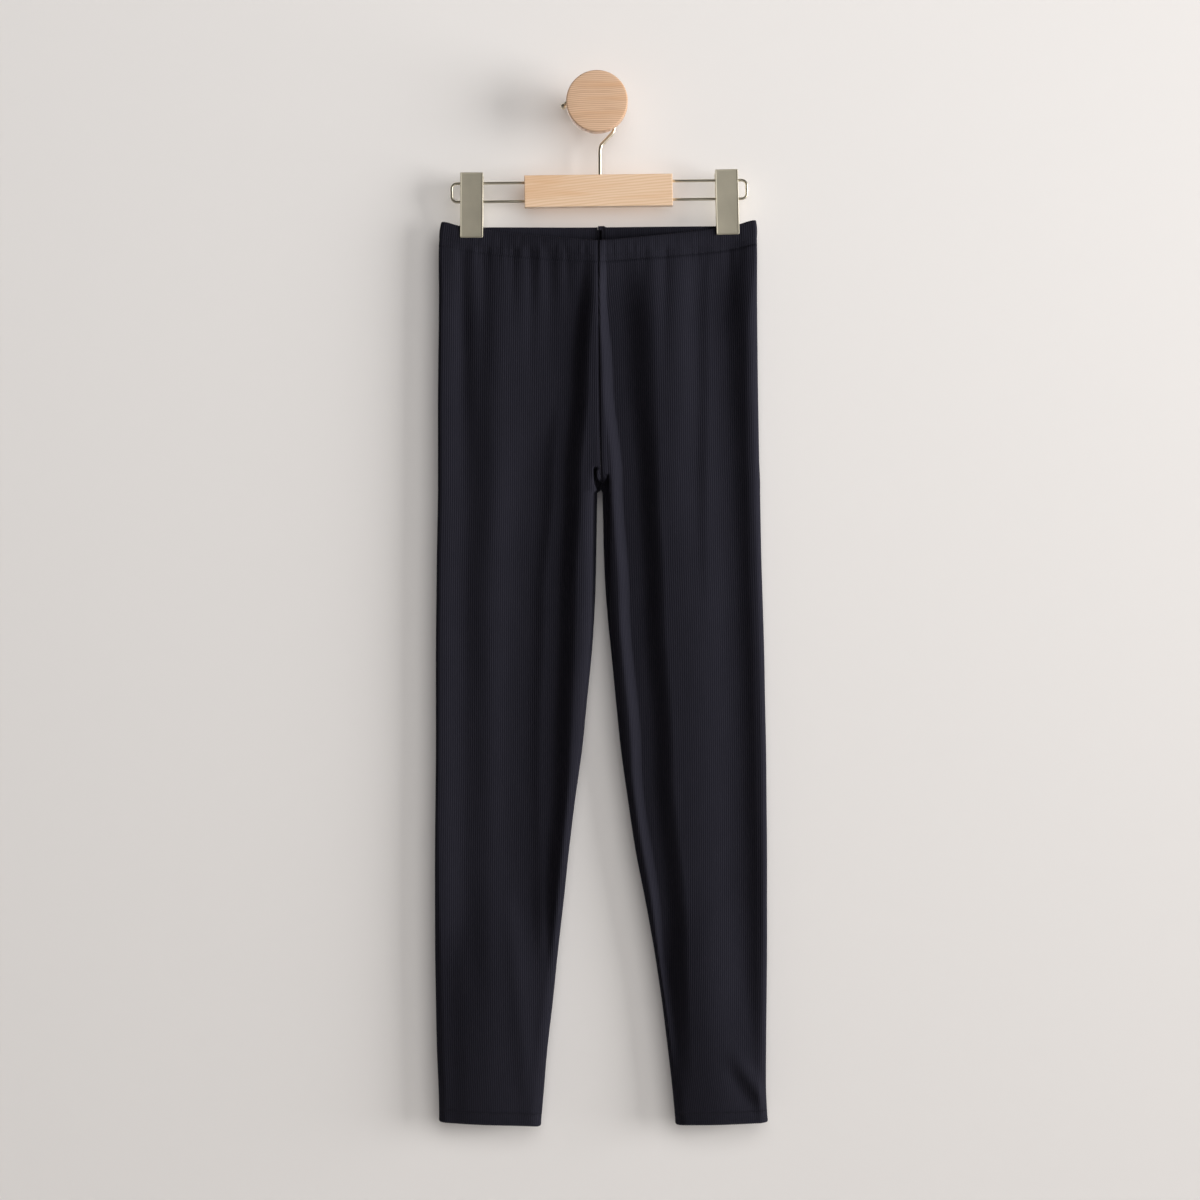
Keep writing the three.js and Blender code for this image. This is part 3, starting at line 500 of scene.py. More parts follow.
PUCKERS = [
    # leg, layer, start, end, count, drop, length of the short ones
    ("left", "front", -150, -10, 22, 0.35, 46),
    ("right", "front", 14, 160, 21, 0.3, 40),
    ("left", "back", -150, -10, 18, 0.3, 40),
    ("right", "back", 14, 160, 18, 0.3, 40),
]


def ease(t):
    t = np.clip(t, 0, 1)
    return t * t * (3 - 2 * t)


def mix(a, b, t):
    return a + (b - a) * t


def outline(column, z):
    """A column of the outline at heights z: a smooth curve, but straight lines at the crotch."""
    levels, values = np.array(OUTLINE["z"], float), np.array(OUTLINE[column], float)
    last = len(levels) - 1
    i = np.clip(np.searchsorted(-levels, -z, "left"), 1, last)
    slope = np.zeros(last + 1)
    slope[1:last] = (values[2:] - values[:-2]) / (levels[:-2] - levels[2:])
    slope[0] = (values[1] - values[0]) / (levels[0] - levels[1])
    slope[last] = (values[last] - values[last - 1]) / (levels[last - 1] - levels[last])
    span = levels[i - 1] - levels[i]
    t = np.clip((levels[i - 1] - z) / span, 0, 1)
    curve = ((2 * t**3 - 3 * t**2 + 1) * values[i - 1] + (t**3 - 2 * t**2 + t) * slope[i - 1] * span
             + (3 * t**2 - 2 * t**3) * values[i] + (t**3 - t**2) * slope[i] * span)
    sharp = (levels <= CROTCH + 30) & (levels >= CROTCH - 15)
    return np.where(sharp[i - 1] | sharp[i], mix(values[i - 1], values[i], t), curve)


def inseam_place(leg, z):
    """The inseam lies on the front at the crotch and runs out towards the inner edge below it."""
    return mix(leg["seam"], 2.6, ease((-450 - z) / 120))


def leg_width(leg, z):
    return np.abs(outline(leg["outer"], z) - outline(leg["inner"], z))


def fold_height(kind, drop, reach, back, off):
    """A soft fold. A leftward one falls away to the left of its crest within its reach, and the cloth comes
    back up within its return; a rightward one is its mirror image."""
    if kind == "ridge":
        return drop * np.exp(-((off / reach) ** 2))
    off = off if kind == "leftward" else -off
    flank = np.cos(math.pi / 2 * np.clip(off / reach + 1, 0, 1)) ** 2
    beyond = np.exp(-((np.minimum(off + reach, 0) / back) ** 2))
    return -drop * flank * beyond


def wall_share(off, reach, power):
    """How far down a valley's wall a point is, from 0 at its crest to 1 at its foot."""
    t = np.clip(off / reach, 0, 1)
    return t**power if power else np.sin(math.pi / 2 * t) ** 2


def fold_place(places, z):
    levels = np.array(FOLD_HEIGHTS, float)
    i = np.clip(np.searchsorted(-levels, -z, "left"), 1, len(levels) - 1)
    t = ease((levels[i - 1] - z) / (levels[i - 1] - levels[i]))
    places = np.array(places, float)
    return mix(places[i - 1], places[i], t)


def relief(name, layer, x, z):
    """Height of the folds and gathers of one layer of one leg."""
    height = np.zeros(np.broadcast(x, z).shape)
    below = WAIST_TOP - CASING_HEIGHT - z
    for leg, side, *gathers in GATHERS:
        for centre, drop, reach, length in gathers if (leg, side) == (name, layer) else ():
            fade = ease((below + 2) / 10) * (1 - ease(below / length))
            height -= drop * fade * np.exp(-(((x - centre) / reach) ** 2))
    for leg, side, start, end, count, drop, length in PUCKERS:
        if (leg, side) != (name, layer):
            continue
        spacing = (end - start) / count
        for k in range(count):
            centre = start + spacing * (k + 0.5 + 0.25 * math.sin(2.4 * k))
            reach = length * (0.75 + 0.25 * math.sin(5 * k))
            fade = ease((below + 2) / 8) * (1 - ease(below / reach))
            height -= drop * fade * np.exp(-(((x - centre) / (0.32 * spacing)) ** 2))
    for leg, side, kind, drop, reach, back, start, end, places in FOLDS:
        if (leg, side) != (name, layer):
            continue
        fade = ease((start - z) / 110) * ease((z - end) / 170)
        spread = mix(0.55, 1, fade)
        height += fade * fold_height(kind, drop, reach * spread, back, x - fold_place(places, z))
    for leg, side, drop, left_reach, right_reach, start, end, left, right in VALLEYS:
        if (leg, side) != (name, layer):
            continue
        fade = ease((start - z) / 110) * ease((z - end) / 170)
        left_wall = wall_share(x - fold_place(left, z), left_reach, 1.7)
        softer = mix(1.5, 1, ease((-240 - z) / 180))
        height -= drop * fade * left_wall * wall_share(fold_place(right, z) - x, right_reach * softer, 0)
    for leg, side, drop, reach, (x0, z0), (x1, z1) in CREASES:
        if (leg, side) != (name, layer):
            continue
        length = math.hypot(x1 - x0, z1 - z0)
        along = ((x - x0) * (x1 - x0) + (z - z0) * (z1 - z0)) / length**2
        away = ((x - x0) * (z1 - z0) - (z - z0) * (x1 - x0)) / length
        height += drop * np.exp(-((away / reach) ** 2) - ((along - 0.5) / 0.55) ** 4)
    return height


def seam_dips(leg, layer, d, z, depth):
    """The cloth rolls in at a seam, and stands up over the allowance that is turned to the right. At the
    crotch the seam ends in a small tongue, and beside it the front edges step back to the inseams."""
    above = ease((z - CROTCH) / 10)
    height = -0.7 * np.exp(-((d / 1.2) ** 2)) * above
    if leg["sign"] > 0:
        height += 0.45 * ease((d - 0.9) / 1.2) * (1 - ease((d - 5.8) / 1.6)) * above
    if layer == "front":
        edge = mix(leg["notch edge"], inseam_place(leg, z), ease((CROTCH - z) / 11.6))
        tongue_end = leg["tongue"] * np.sqrt(np.clip((z - CROTCH) / 5, 0, 1))
        tongue = (1 - ease((d - tongue_end) / 0.9)) * (z > CROTCH)
        step = ease((leg["notch"] - z) / 5) * (1 - ease((d - edge + 0.6) / 1.2)) * (1 - tongue)
        rise = 1 - ease((-510 - z) / 140)
        height -= step * depth * mix(0.12, 0.88, rise)
    return height


def panel_point(name, q, z):
    """A point of a panel's outer face. q runs from the side fold: to the front seam when it is positive, and
    when it is negative over the back to the inner edge and round it to the inseam."""
    leg = LEGS[name]
    width = leg_width(leg, z)
    wrapped = (q < -width) & (z < CROTCH)
    front = (q >= 0) | wrapped
    d = np.where(q >= 0, width - q, np.where(wrapped, -q - width, width + q))
    settled = ease((WAIST_TOP - CASING_HEIGHT - z) / 100)
    bow = np.where(front, 7.5, 4.5) * ease((1 - d / width - 0.3) / 0.7)
    depth = mix(3.2 + bow, outline("half depth", z), settled)
    edge = depth * mix(1, 1.3, settled)
    rise = np.clip((z - CROTCH) / np.where(front, 13, 42), 0, 1)
    gap = SEAM_GAP / (2 * depth)
    opening = np.where(z <= CROTCH, 0, np.maximum(gap, np.sqrt(np.maximum(0, 1 - (1 - rise) ** 2))))
    near_inner = np.maximum(0, 1 - d / edge)
    if leg["thin side"]:
        thinnest = mix(THIN_SIDE["share"], 1, ease((width - d - THIN_SIDE["flat"]) / THIN_SIDE["run"]))
        thin = mix(1, thinnest, settled * ease((z - HEM_LEVEL) / THIN_SIDE["fade"]))
        depth = depth * thin
        edge = edge * mix(THIN_SIDE["edge"], 1, ease((thin - THIN_SIDE["share"]) / (1 - THIN_SIDE["share"])))
    near_outer = np.maximum(0, 1 - (width - d) / edge)
    round_inner = np.sqrt(np.maximum(0, 1 - (1 - opening**2) * near_inner**2))
    round_outer = np.sqrt(np.maximum(0, 1 - near_outer**2))
    x = outline(leg["inner"], z) + leg["sign"] * d
    height = np.where(front, relief(name, "front", x, z), relief(name, "back", x, z))
    height = height * ease(d / mix(12, 5, opening)) * ease((width - d) / (34 if leg["thin side"] else 9))
    room = np.maximum(np.where(front, depth + 2.5, depth - 6.5), 0.5)
    height = height / (1 + (np.maximum(-height, 0) / room) ** 4) ** 0.25
    rounded_depth = depth * round_inner * round_outer
    dips = seam_dips(leg, "front", d, z, rounded_depth), seam_dips(leg, "back", d, z, rounded_depth)
    height = height + np.where(front, *dips)
    side = np.where(front, -1, 1)
    y = HANG_PLANE + side * (rounded_depth + height)
    return np.stack(np.broadcast_arrays(x, y, z), axis=-1)


def panel_normal(name, q, z):
    across = panel_point(name, q + 0.25, z) - panel_point(name, q - 0.25, z)
    down = panel_point(name, q, z - 0.5) - panel_point(name, q, z + 0.5)
    normal = np.cross(across, down) * LEGS[name]["sign"]
    return normal / np.maximum(1e-9, np.linalg.norm(normal, axis=-1))[..., None]


def panel_ends(name, level):
    """Where the panel ends at one height: at the centre seams above the crotch, at the inseam below it."""
    leg = LEGS[name]
    width = float(leg_width(leg, np.array(float(level))))
    seam = mix(0.05, inseam_place(leg, level), float(ease((CROTCH - level) / 9))) if level < CROTCH else 0.0
    gap = SEAM_GAP / 3 if level < CROTCH else 0.0
    return width, width - seam - gap, -(width + max(0.0, seam - gap))


def columns(name, level, spacing):
    """The panel's columns at one height: their numbers from the side fold, cloth distances and q."""
    width, q_front, q_back = panel_ends(name, level)
    turns = (1 - np.cos(np.linspace(0, math.pi, 420))) / 2
    q = np.concatenate([q_back * turns[::-1], q_front * turns[1:]])
    points = panel_point(name, q, np.full(q.shape, float(level)))
    length = np.concatenate([[0], np.cumsum(np.linalg.norm(np.diff(points, axis=0), axis=1))])
    s = length - np.interp(0, q, length)
    last = math.ceil(s[-1] / spacing - 0.35)
    first = -math.ceil(-s[0] / spacing - 0.35)
    numbers = np.arange(first, last + 1)
    places = numbers * spacing
    places[0], places[-1] = s[0], s[-1]
    return numbers, places, np.interp(places, s, q), (s[0], s[-1])


EASED = np.linspace(0, 0.5, 200)
EASED_SHARE = EASED - 0.5 * np.sin(4 * math.pi * EASED) / (4 * math.pi)


def centre_share(places, ends):
    """0 at the side fold to 1 at the centre seam, crowded as the seams are."""
    share = np.where(places > 0, places / ends[1], places / ends[0])
    return 1 - 2 * np.interp((1 - share) / 2, EASED_SHARE, EASED)


def waist_edge(leg, places, ends):
    centre = centre_share(places, ends)
    front = WAIST_DIP["front"] * np.sin(math.pi / 2 * centre) ** 1.35 * ease(centre / 0.2)
    back = WAIST_DIP["back"] * ease((centre - 0.06) / 0.2)
    return WAIST_TOP - leg["drop"] * (1 - centre) - np.where(places > 0, front, back)


def casing_seam(leg, places, ends):
    lean = np.where(places > 0, CASING_LEAN * ease(centre_share(places, ends)), 0)
    return waist_edge(leg, places, ends) - CASING_HEIGHT + lean


def hem_edge(leg, places, ends):
    return HEM_LEVEL + mix(leg["hem"][0], leg["hem"][1], centre_share(places, ends))


def rib_height(places):
    """Ribs with round tops and narrow valleys."""
    return RIB["depth"] * (np.abs(np.sin(math.pi * places / RIB["pitch"])) ** 0.6 - 0.6)


def rib_knit(name, tone):
    """Rib knit in a very dark blue charcoal, with painted shade between the ribs, stitches, lint and a sheen.
    """
    finish = Finish(name, {"Specular IOR Level": 0.06, "Sheen Weight": 0.03, "Sheen Roughness": 0.35,
                           "Sheen Tint": paint(190, 196, 225)})
    cloth = finish.node("ShaderNodeAttribute", {"attribute_name": "cloth"}, out="Vector")
    s, z, _ = finish.parts(cloth)
    crest = abs((s * (math.pi / RIB["pitch"])).sine())
    arm = abs((s * (2 / RIB["pitch"])).fraction() - 0.5)
    stitch = ((z * (1 / 1.15) + arm * 1.1) * (2 * math.pi)).sine() * 0.5 + 0.5
    lint = finish.noise(cloth, (1, 1, 1), 1.4, 3)
    mottle = finish.noise(cloth, (0.05, 0.02, 1), 1, 2)
    deep, face = (tuple(c * tone for c in paint(*rgb)[:3]) + (1.0,) for rgb in ((25, 25, 32), (52, 51, 61)))
    # The blend is lighter on the rib crests and darker between them, which is painted shade in the rib
    # valleys; the stitches, lint and mottle are the knit's own tone.
    light = crest ** 0.8 * 0.62 + stitch * 0.1 + lint * 0.22 + mottle * 0.22
    finish.set("Base Color", finish.blend(light, deep, face))
    finish.set("Roughness", 0.82 + lint * 0.16)
    finish.bump(stitch * crest * 0.8 + lint * 0.6, 0.00022, 0.5)
    return finish


knit = rib_knit("rib_knit_charcoal", 1.0)


def cloth_piece(name, points, faces, marks, spreads, finish):
    """A cloth mesh: points in millimetres, (s, z, side) marks on its points, and its own flat map."""
    piece = mesh_of(name, points, faces, finish)
    mesh = piece.data
    layer = mesh.attributes.new("cloth", "FLOAT_VECTOR", "POINT")
    layer.data.foreach_set("vector", np.asarray(marks, np.float32).ravel())
    corners = np.zeros(len(mesh.loops), np.int32)
    mesh.loops.foreach_get("vertex_index", corners)
    flat = mesh.uv_layers.new(name="OFBake")
    flat.data.foreach_set("uv", np.asarray(spreads, np.float32)[corners].ravel())
    return piece


def spread_map(marks):
    """Cloth distance and height as a flat map: the outer face on the left, the inner face beside it."""
    s, z, inner = marks[:, 0], marks[:, 1], marks[:, 2]
    s_share = (s - s.min()) / (np.ptp(s) + 1e-6)
    z_share = (z - z.min()) / (np.ptp(z) + 1e-6)
    u = np.where(inner > 0.5, 0.7 + 0.29 * s_share, 0.01 + 0.67 * s_share)
    return np.stack([u, 0.01 + 0.98 * z_share], axis=1)


def levels_between(*stops):
    """Row heights from (height, spacing) pairs, each spacing holding down to the next height."""
    rows = []
    for (high, step), (low, _) in zip(stops, stops[1:]):
        count = max(1, round((high - low) / step))
        rows += list(np.linspace(high, low, count, endpoint=False))
    return rows + [stops[-1][0]]


PANEL_TOP = -150
PANEL_FOOT = -1070.5
CURVE_FOOT = -330
HEM_BEND = -1020
panel_rows = levels_between((PANEL_TOP, 4), (-240, 6), (-358, 3), (-376, 1.2), (-418, 3), (-436, 6),
                            (-1050, 4.2), (PANEL_FOOT, 1))
cut_area = {}
for name, leg in LEGS.items():
    points, marks, faces, outer_rows, inner_rows = [], [], [], [], []
    cut_area[name] = 0.0
    for level in panel_rows:
        numbers, places, q, ends = columns(name, level, RIB["pitch"] / RIB["columns"])
        cut_area[name] += (ends[1] - ends[0]) * (PANEL_TOP - PANEL_FOOT) / len(panel_rows)
        top_share = ease((level - CURVE_FOOT) / (PANEL_TOP - CURVE_FOOT))
        top_bend = (casing_seam(leg, places, ends) - PANEL_TOP) * top_share
        foot_share = ease((HEM_BEND - level) / (HEM_BEND - PANEL_FOOT))
        foot_bend = (hem_edge(leg, places, ends) + HEM_HEIGHT - PANEL_FOOT) * foot_share
        z = level + top_bend + foot_bend
        q = q * leg_width(leg, z) / leg_width(leg, np.array(float(level)))
        face = panel_point(name, q, z)
        normal = panel_normal(name, q, z)
        start = len(points)
        outer_rows.append({n: start + k for k, n in enumerate(numbers)})
        points += list(face + normal * rib_height(places)[:, None])
        marks += [(s, h, 0) for s, h in zip(places, z)]
        keep = [k for k, n in enumerate(numbers) if n % RIB["columns"] == 0 or k in (0, len(numbers) - 1)]
        start = len(points)
        inner_rows.append({numbers[k]: start + i for i, k in enumerate(keep)})
        points += list((face - normal * CLOTH)[keep])
        marks += [(places[k], z[k], 1) for k in keep]

    def held(row, number, stop):
        """The row's vertex of a column, or of its end where the column has left the panel."""
        return row[min(max(number, stop[0]), stop[1])]

    for rows, step, flip in ((outer_rows, 1, False), (inner_rows, RIB["columns"], True)):
        stops = [(min(row), max(row)) for row in rows]
        for i in range(len(rows) - 1):
            upper, lower = rows[i], rows[i + 1]
            low = min(stops[i][0], stops[i + 1][0])
            high = max(stops[i][1], stops[i + 1][1])
            cols = list(range(low - low % step, high + step, step))
            for n, m in zip(cols, cols[1:]):
                corner = [held(upper, n, stops[i]), held(lower, n, stops[i + 1]),
                          held(lower, m, stops[i + 1]), held(upper, m, stops[i])]
                ring = [c for k, c in enumerate(corner) if c != corner[k - 1]]
                if len(set(ring)) > 2:
                    faces.append(ring[::-1] if flip else ring)
    for i in range(len(outer_rows) - 1):
        for end in (min, max):
            a, b = outer_rows[i][end(outer_rows[i])], outer_rows[i + 1][end(outer_rows[i + 1])]
            c, d = inner_rows[i + 1][end(inner_rows[i + 1])], inner_rows[i][end(inner_rows[i])]
            faces.append([a, d, c, b] if end is min else [a, b, c, d])
    for row, inner, flip in ((outer_rows[0], inner_rows[0], False), (outer_rows[-1], inner_rows[-1], True)):
        stops = sorted(inner)
        for n, m in zip(stops, stops[1:]):
            ring = [row[k] for k in range(n, m + 1)] + [inner[m], inner[n]]
            faces.append(ring[::-1] if flip else ring)
    if leg["sign"] > 0:
        faces = [face[::-1] for face in faces]
    marks = np.array(marks)
    piece = cloth_piece(f"leg_panel_{name}", points, faces, marks, spread_map(marks), knit)
    finished(piece, "rib_knit", f"leg_{name}")
    LEGS[name]["panel"] = piece

# Waist casing and hems: the panels' own cloth, turned in and held by two rows of cover stitch. The casing
# holds a flat elastic, which draws the cloth into fine puckers. Both edges are soft rounded folds.
CASING = {"height": CASING_HEIGHT, "thickness": 2.6, "stitches": (18.4, 24.6), "level": -136, "puff": 0.55}
HEM = {"height": HEM_HEIGHT, "thickness": 2.6, "stitches": (5.4, 11.8), "level": -1077, "puff": 0.2}
EDGE_OVERLAP = 0.4


def edge_height(edge, places, drop):
    """Height of the turned edge's face: ribs, puckers, a puff over the elastic and the stitch grooves."""
    span = edge["stitches"][0]
    inside = np.clip(drop / span, 0, 1)
    pucker = np.sin(places * 0.55) + 0.7 * np.sin(places * 0.31 + 1.3) + 0.6 * np.sin(places * 0.83 + 0.4)
    height = rib_height(places) + np.sin(math.pi * inside) * (edge["puff"] + 0.16 * pucker * edge["puff"])
    for row in edge["stitches"]:
        height = height - 0.13 * np.exp(-(((drop - row) / 0.75) ** 2))
    return height


def casing_line(leg, places, ends):
    """The casing's top fold, a little higher over the seam allowance at the centre back."""
    over_seam = (places < 0) & (leg["sign"] > 0)
    return waist_edge(leg, places, ends) + 1.5 * over_seam * ease((9.0 - np.abs(places - ends[0])) / 2.0)


def drop_to_height(edge, leg, places, ends, drop):
    """Height of the points that lie a distance from the fold, down the casing or up the hem."""
    if edge is HEM:
        return hem_edge(leg, places, ends) + drop * (edge["height"] + EDGE_OVERLAP) / edge["height"]
    fold = casing_line(leg, places, ends)
    foot = casing_seam(leg, places, ends) - EDGE_OVERLAP
    return fold + (foot - fold) * drop / edge["height"]


def turned_edge(piece_name, name, edge):
    """A turned-in edge as one closed ring of cloth from its outer face over the fold to its inner face."""
    leg = LEGS[name]
    numbers, places, q, ends = columns(name, edge["level"], RIB["pitch"] / RIB["columns"])
    half = edge["thickness"] / 2
    first, second = edge["stitches"]
    drops = [edge["height"], second + 0.6, second, second - 0.7, (first + second) / 2]
    drops += [first + 0.7, first, first - 0.7]
    drops += list(np.linspace(first - 2, half, 7 if edge is CASING else 4))
    loop, marks = [], []
    across = leg_width(leg, np.array(float(edge["level"])))

    def face_point(drop):
        z = drop_to_height(edge, leg, places, ends, drop)
        here = q * leg_width(leg, z) / across
        return panel_point(name, here, z), panel_normal(name, here, z), z

    for drop in drops:
        point, normal, z = face_point(drop)
        loop.append(point + normal * edge_height(edge, places, drop)[:, None])
        marks.append(np.stack([places, z, np.zeros_like(z)], axis=1))
    point, normal, z = face_point(half)
    away = np.array((0, 0, -1.0 if edge is HEM else 1.0))
    for angle in np.radians((30, 60, 90, 120, 150)):
        reach = half + rib_height(places)[:, None]
        loop.append(point - normal * half + normal * reach * math.cos(angle) + away * reach * math.sin(angle))
        shift = half * math.sin(angle) * away[2]
        marks.append(np.stack([places, z + shift, np.full_like(z, float(angle > 1.6))], axis=1))
    for drop in reversed(drops):
        point, normal, z = face_point(drop)
        depth = edge["thickness"] + 0.6 * edge_height(edge, places, drop)
        loop.append(point - normal * depth[:, None])
        marks.append(np.stack([places, z, np.ones_like(z)], axis=1))
    around, count = len(loop), len(places)
    points = np.stack(loop, axis=1).reshape(-1, 3)
    marks = np.stack(marks, axis=1).reshape(-1, 3)
    faces = skin(count, around)
    if (leg["sign"] > 0) == (edge is HEM):
        faces = [face[::-1] for face in faces]
    return cloth_piece(piece_name, points, faces, marks, spread_map(marks), knit)


STITCH = {"length": 2.6, "pitch": 3.3, "radius": 0.27, "sides": 6}
# share of the stitch's length, lift and share of its radius, for each ring of a stitch
STITCH_RINGS = ((0, -0.3, 0.6), (0.2, 0.0, 1), (0.5, 0.06, 1), (0.8, 0.0, 1), (1, -0.3, 0.6))
thread = Finish("cover_stitch_thread", {"Specular IOR Level": 0.1, "Sheen Weight": 0.03, "Roughness": 0.8})
thread_place = thread.node("ShaderNodeTexCoord", out="Object")
twist = thread.noise(thread_place, (2500, 2500, 2500), 1, 1)
thread.set("Base Color", thread.blend(twist, paint(26, 26, 32), paint(56, 55, 65)))
thread.bump(twist, 0.0001, 0.4)


def stitch_rows(piece_name, name, edge):
    """Two rows of straight stitches on the outer face, each a short thread that dives in at both ends."""
    leg = LEGS[name]
    numbers, places, q, ends = columns(name, edge["level"], RIB["pitch"] / RIB["columns"])
    across = leg_width(leg, np.array(float(edge["level"])))
    starts = np.arange(ends[0] + 2, ends[1] - 2 - STITCH["length"], STITCH["pitch"])
    points = []
    for drop in edge["stitches"]:
        for share, lift, thick in STITCH_RINGS:
            s = starts + share * STITCH["length"]
            z = drop_to_height(edge, leg, s, ends, drop)
            here = np.interp(s, places, q) * leg_width(leg, z) / across
            face, normal = panel_point(name, here, z), panel_normal(name, here, z)
            top = edge_height(edge, s, drop).mean() + 0.1
            centre = face + normal * (top + lift)
            for k in range(STITCH["sides"]):
                turn = 2 * math.pi * k / STITCH["sides"]
                offset = normal * math.cos(turn) + np.array((0, 0, 1.0)) * math.sin(turn)
                points.append(centre + offset * STITCH["radius"] * thick)
    rings, sides, count = len(STITCH_RINGS), STITCH["sides"], len(starts)
    grid = np.array(points).reshape(len(edge["stitches"]), rings, sides, count, 3)
    grid = grid.transpose(0, 3, 1, 2, 4).reshape(-1, 3)
    faces = []
    for base in range(0, len(grid), rings * sides):
        faces += skin(rings, sides, base)
    return mesh_of(piece_name, grid, faces, thread)


edge_pieces = {name: [] for name in LEGS}
for name in LEGS:
    casing = turned_edge(f"waist_casing_{name}", name, CASING)
    finished(casing, "rib_knit", f"waistband_{name}")
    hem = turned_edge(f"leg_hem_{name}", name, HEM)
    finished(hem, "rib_knit", f"hem_{name}")
    casing_rows = finished(stitch_rows(f"casing_stitches_{name}", name, CASING), "seam_thread")
    hem_rows = finished(stitch_rows(f"hem_stitches_{name}", name, HEM), "seam_thread")
    edge_pieces[name] = [casing, hem, casing_rows, hem_rows]

# Centre seams inside: the two halves' allowances, overlocked together and laid to the wearer's side, run down
# the front and the back from the casing's fold to the crotch. The loops of thread lie across the strip.
OVERLOCK = {"width": 7.4, "start": -0.6, "height": 0.9, "loop": 2.2, "step": 0.73, "foot": -352}
overlock = Finish("overlock_thread", {"Specular IOR Level": 0.08, "Sheen Weight": 0.03, "Roughness": 0.9})
overlock_place = overlock.node("ShaderNodeTexCoord", out="Object")
fibre = overlock.noise(overlock_place, (1500, 1500, 3000), 1, 2)
overlock.set("Base Color", overlock.blend(fibre, paint(22, 22, 28), paint(46, 45, 54)))
overlock.bump(fibre, 0.00015, 0.5)


def overlock_strip(piece_name, layer, top, foot, wall, height):
    """A padded strip on the inner face beside the centre seam, with its loops of thread raised across it."""
    leg = LEGS["right"]
    z = np.linspace(top, foot, round((top - foot) / OVERLOCK["step"]))
    shares = (0, 0.08, 0.3, 0.5, 0.7, 0.92, 1)
    crown = (0.15, 0.6, 0.95, 1.05, 0.95, 0.6, 0.15)
    width = leg_width(leg, z)
    rows, inner_rows = [], []
    for share, rise in zip(shares, crown):
        d = OVERLOCK["start"] + share * OVERLOCK["width"]
        q = width - d if layer == "front" else d - width
        loops = 0.15 * height * np.sin(2 * math.pi * (z / OVERLOCK["loop"] + share * 0.8))
        face, normal = panel_point("right", q, z), panel_normal("right", q, z)
        rows.append(face - normal * (wall + height * rise + loops)[:, None])
        inner_rows.append(face - normal * wall)
    rows += inner_rows[::-1]
    points = np.stack(rows, axis=1).reshape(-1, 3)
    faces = skin(len(z), len(rows))
    if layer == "front":
        faces = [face[::-1] for face in faces]
    return mesh_of(piece_name, points, faces, overlock)


for layer, dip in WAIST_DIP.items():
    lean = CASING_LEAN if layer == "front" else 0
    fold = WAIST_TOP - dip
    seam = fold - CASING_HEIGHT + lean
    upper = overlock_strip(f"casing_overlock_{layer}", layer, fold - 3.2, seam,
                           CASING["thickness"] + 0.15, 0.55)
    finished(upper, "seam_thread", f"casing_seam_{layer}")
    lower = overlock_strip(f"centre_overlock_{layer}", layer, seam - 0.3, OVERLOCK["foot"],
                           CLOTH + 0.5, OVERLOCK["height"])
    finished(lower, "seam_thread", f"centre_seam_{layer}")
    edge_pieces["right"] += [upper, lower]

# Each leg is cut as one panel from the waist to the hem, with the turnings of the casing and hem left on.
PANEL_CUT = {"left": (0.372, 0.96), "right": (0.376, 0.96)}
for name, size in PANEL_CUT.items():
    whole = cut_area[name] / 1e6

# Studio: a pale plastered wall, a pale floor below the view, a low window's light that grazes the cloth from
# the right, a wash from the front on all but the cloth and metal, and a weak light behind the wall for the
# garment's back. The camera stands straight in front, 3 m away.
PHOTO = {"pixels": 1200, "mm per pixel": 1.065, "peg column": 597, "peg row": 106, "distance": 3000}
wall_finish = Finish("pale_wall", {"Roughness": 0.95, "Base Color": paint(222, 218, 215)})
see_through = wall_finish.tree.nodes.new("ShaderNodeBsdfTransparent")
back_side = wall_finish.node("ShaderNodeNewGeometry", out="Backfacing")
cover = wall_finish.tree.nodes.new("ShaderNodeMixShader")
wall_finish.feed(cover.inputs[0], back_side)
wall_finish.tree.links.new(wall_finish.shader.outputs[0], cover.inputs[1])
wall_finish.tree.links.new(see_through.outputs[0], cover.inputs[2])
wall_finish.tree.links.new(cover.outputs[0], wall_finish.tree.nodes["Material Output"].inputs[0])
wall = mesh_of("wall", [(-3000, 0.5, -1300), (3000, 0.5, -1300), (3000, 0.5, 1500), (-3000, 0.5, 1500)],
               [(0, 1, 2, 3)], wall_finish, False)
wall.visible_shadow = False
floor_finish = Finish("pale_floor", {"Roughness": 0.9, "Base Color": paint(165, 161, 157)})
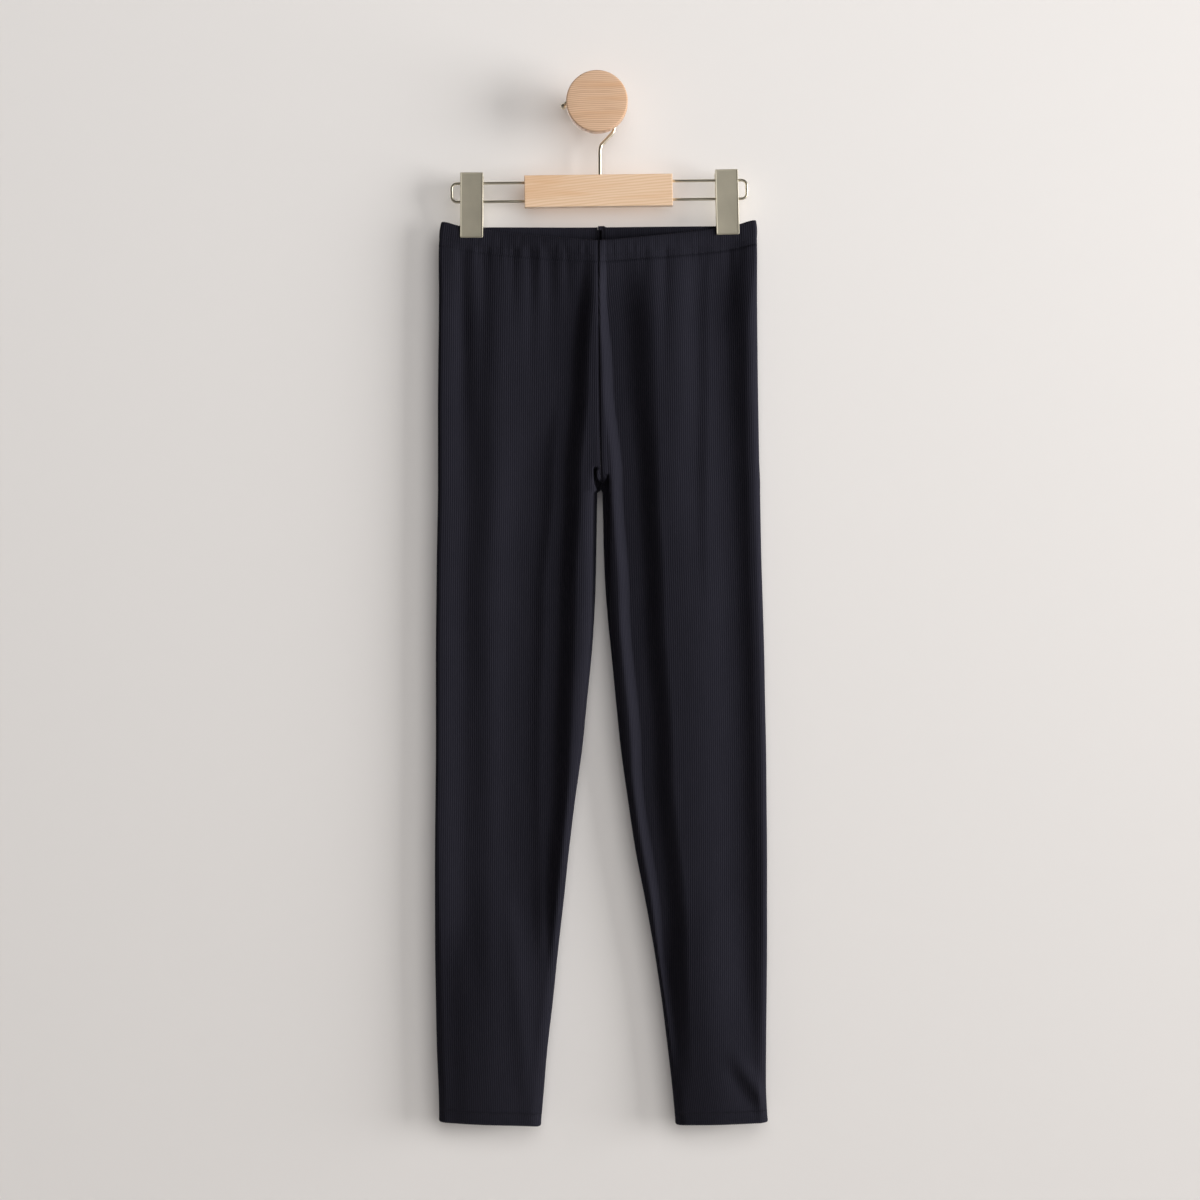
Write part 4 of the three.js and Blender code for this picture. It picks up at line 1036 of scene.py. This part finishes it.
floor_corners = [(-3500, -4500, -1300), (3500, -4500, -1300), (3500, 2500, -1300), (-3500, 2500, -1300)]
floor = mesh_of("floor", floor_corners, [(0, 1, 2, 3)], floor_finish, False)

middle_x = (PHOTO["pixels"] / 2 - PHOTO["peg column"]) * PHOTO["mm per pixel"]
middle_z = (PHOTO["peg row"] - PHOTO["pixels"] / 2) * PHOTO["mm per pixel"]


def soft_light(name, place, size, power, aim):
    """A square soft light at a place in metres that looks at another."""
    data = bpy.data.lights.new(name, "AREA")
    data.size = size
    data.energy = power
    lamp = bpy.data.objects.new(name, data)
    lamp.location = place
    direction = lamp.location.copy()
    direction.xyz = [a - b for a, b in zip(aim, place)]
    lamp.rotation_euler = direction.to_track_quat("-Z", "Y").to_euler()
    bpy.context.scene.collection.objects.link(lamp)
    return lamp


soft_light("window_light", (9.3, -3.75, -0.7), 6.0, 1330, (0, 0, -0.6))
soft_light("back_light", (-0.6, 2.2, 0.2), 2.0, 55, (0, 0, -0.6))
wash = soft_light("wall_wash", (1.4, -6.0, 1.6), 6.0, 285, (0, 0, -0.6))
washed = bpy.data.collections.new("washed")
unwashed = ("leg_", "waist_", "casing_", "hem_", "centre_", "clip_", "wire_", "hook_")
for thing in bpy.context.scene.objects:
    if thing.type == "MESH" and not thing.name.startswith(unwashed):
        washed.objects.link(thing)
wash.light_linking.receiver_collection = washed
world = bpy.data.worlds.new("studio")
world.use_nodes = True
world.node_tree.nodes["Background"].inputs["Color"].default_value = (0.06, 0.059, 0.059, 1)
world.node_tree.nodes["Background"].inputs["Strength"].default_value = 1.0
bpy.context.scene.world = world
bpy.context.scene.view_settings.view_transform = "Standard"

lens = bpy.data.cameras.new("camera")
lens.sensor_width = 36
lens.lens = lens.sensor_width * PHOTO["distance"] / (PHOTO["pixels"] * PHOTO["mm per pixel"])
camera = bpy.data.objects.new("camera", lens)
camera.location = (middle_x * MM, (HANG_PLANE - PHOTO["distance"]) * MM, middle_z * MM)
camera.rotation_euler = (math.pi / 2, 0, 0)
bpy.context.scene.collection.objects.link(camera)
bpy.context.scene.camera = camera
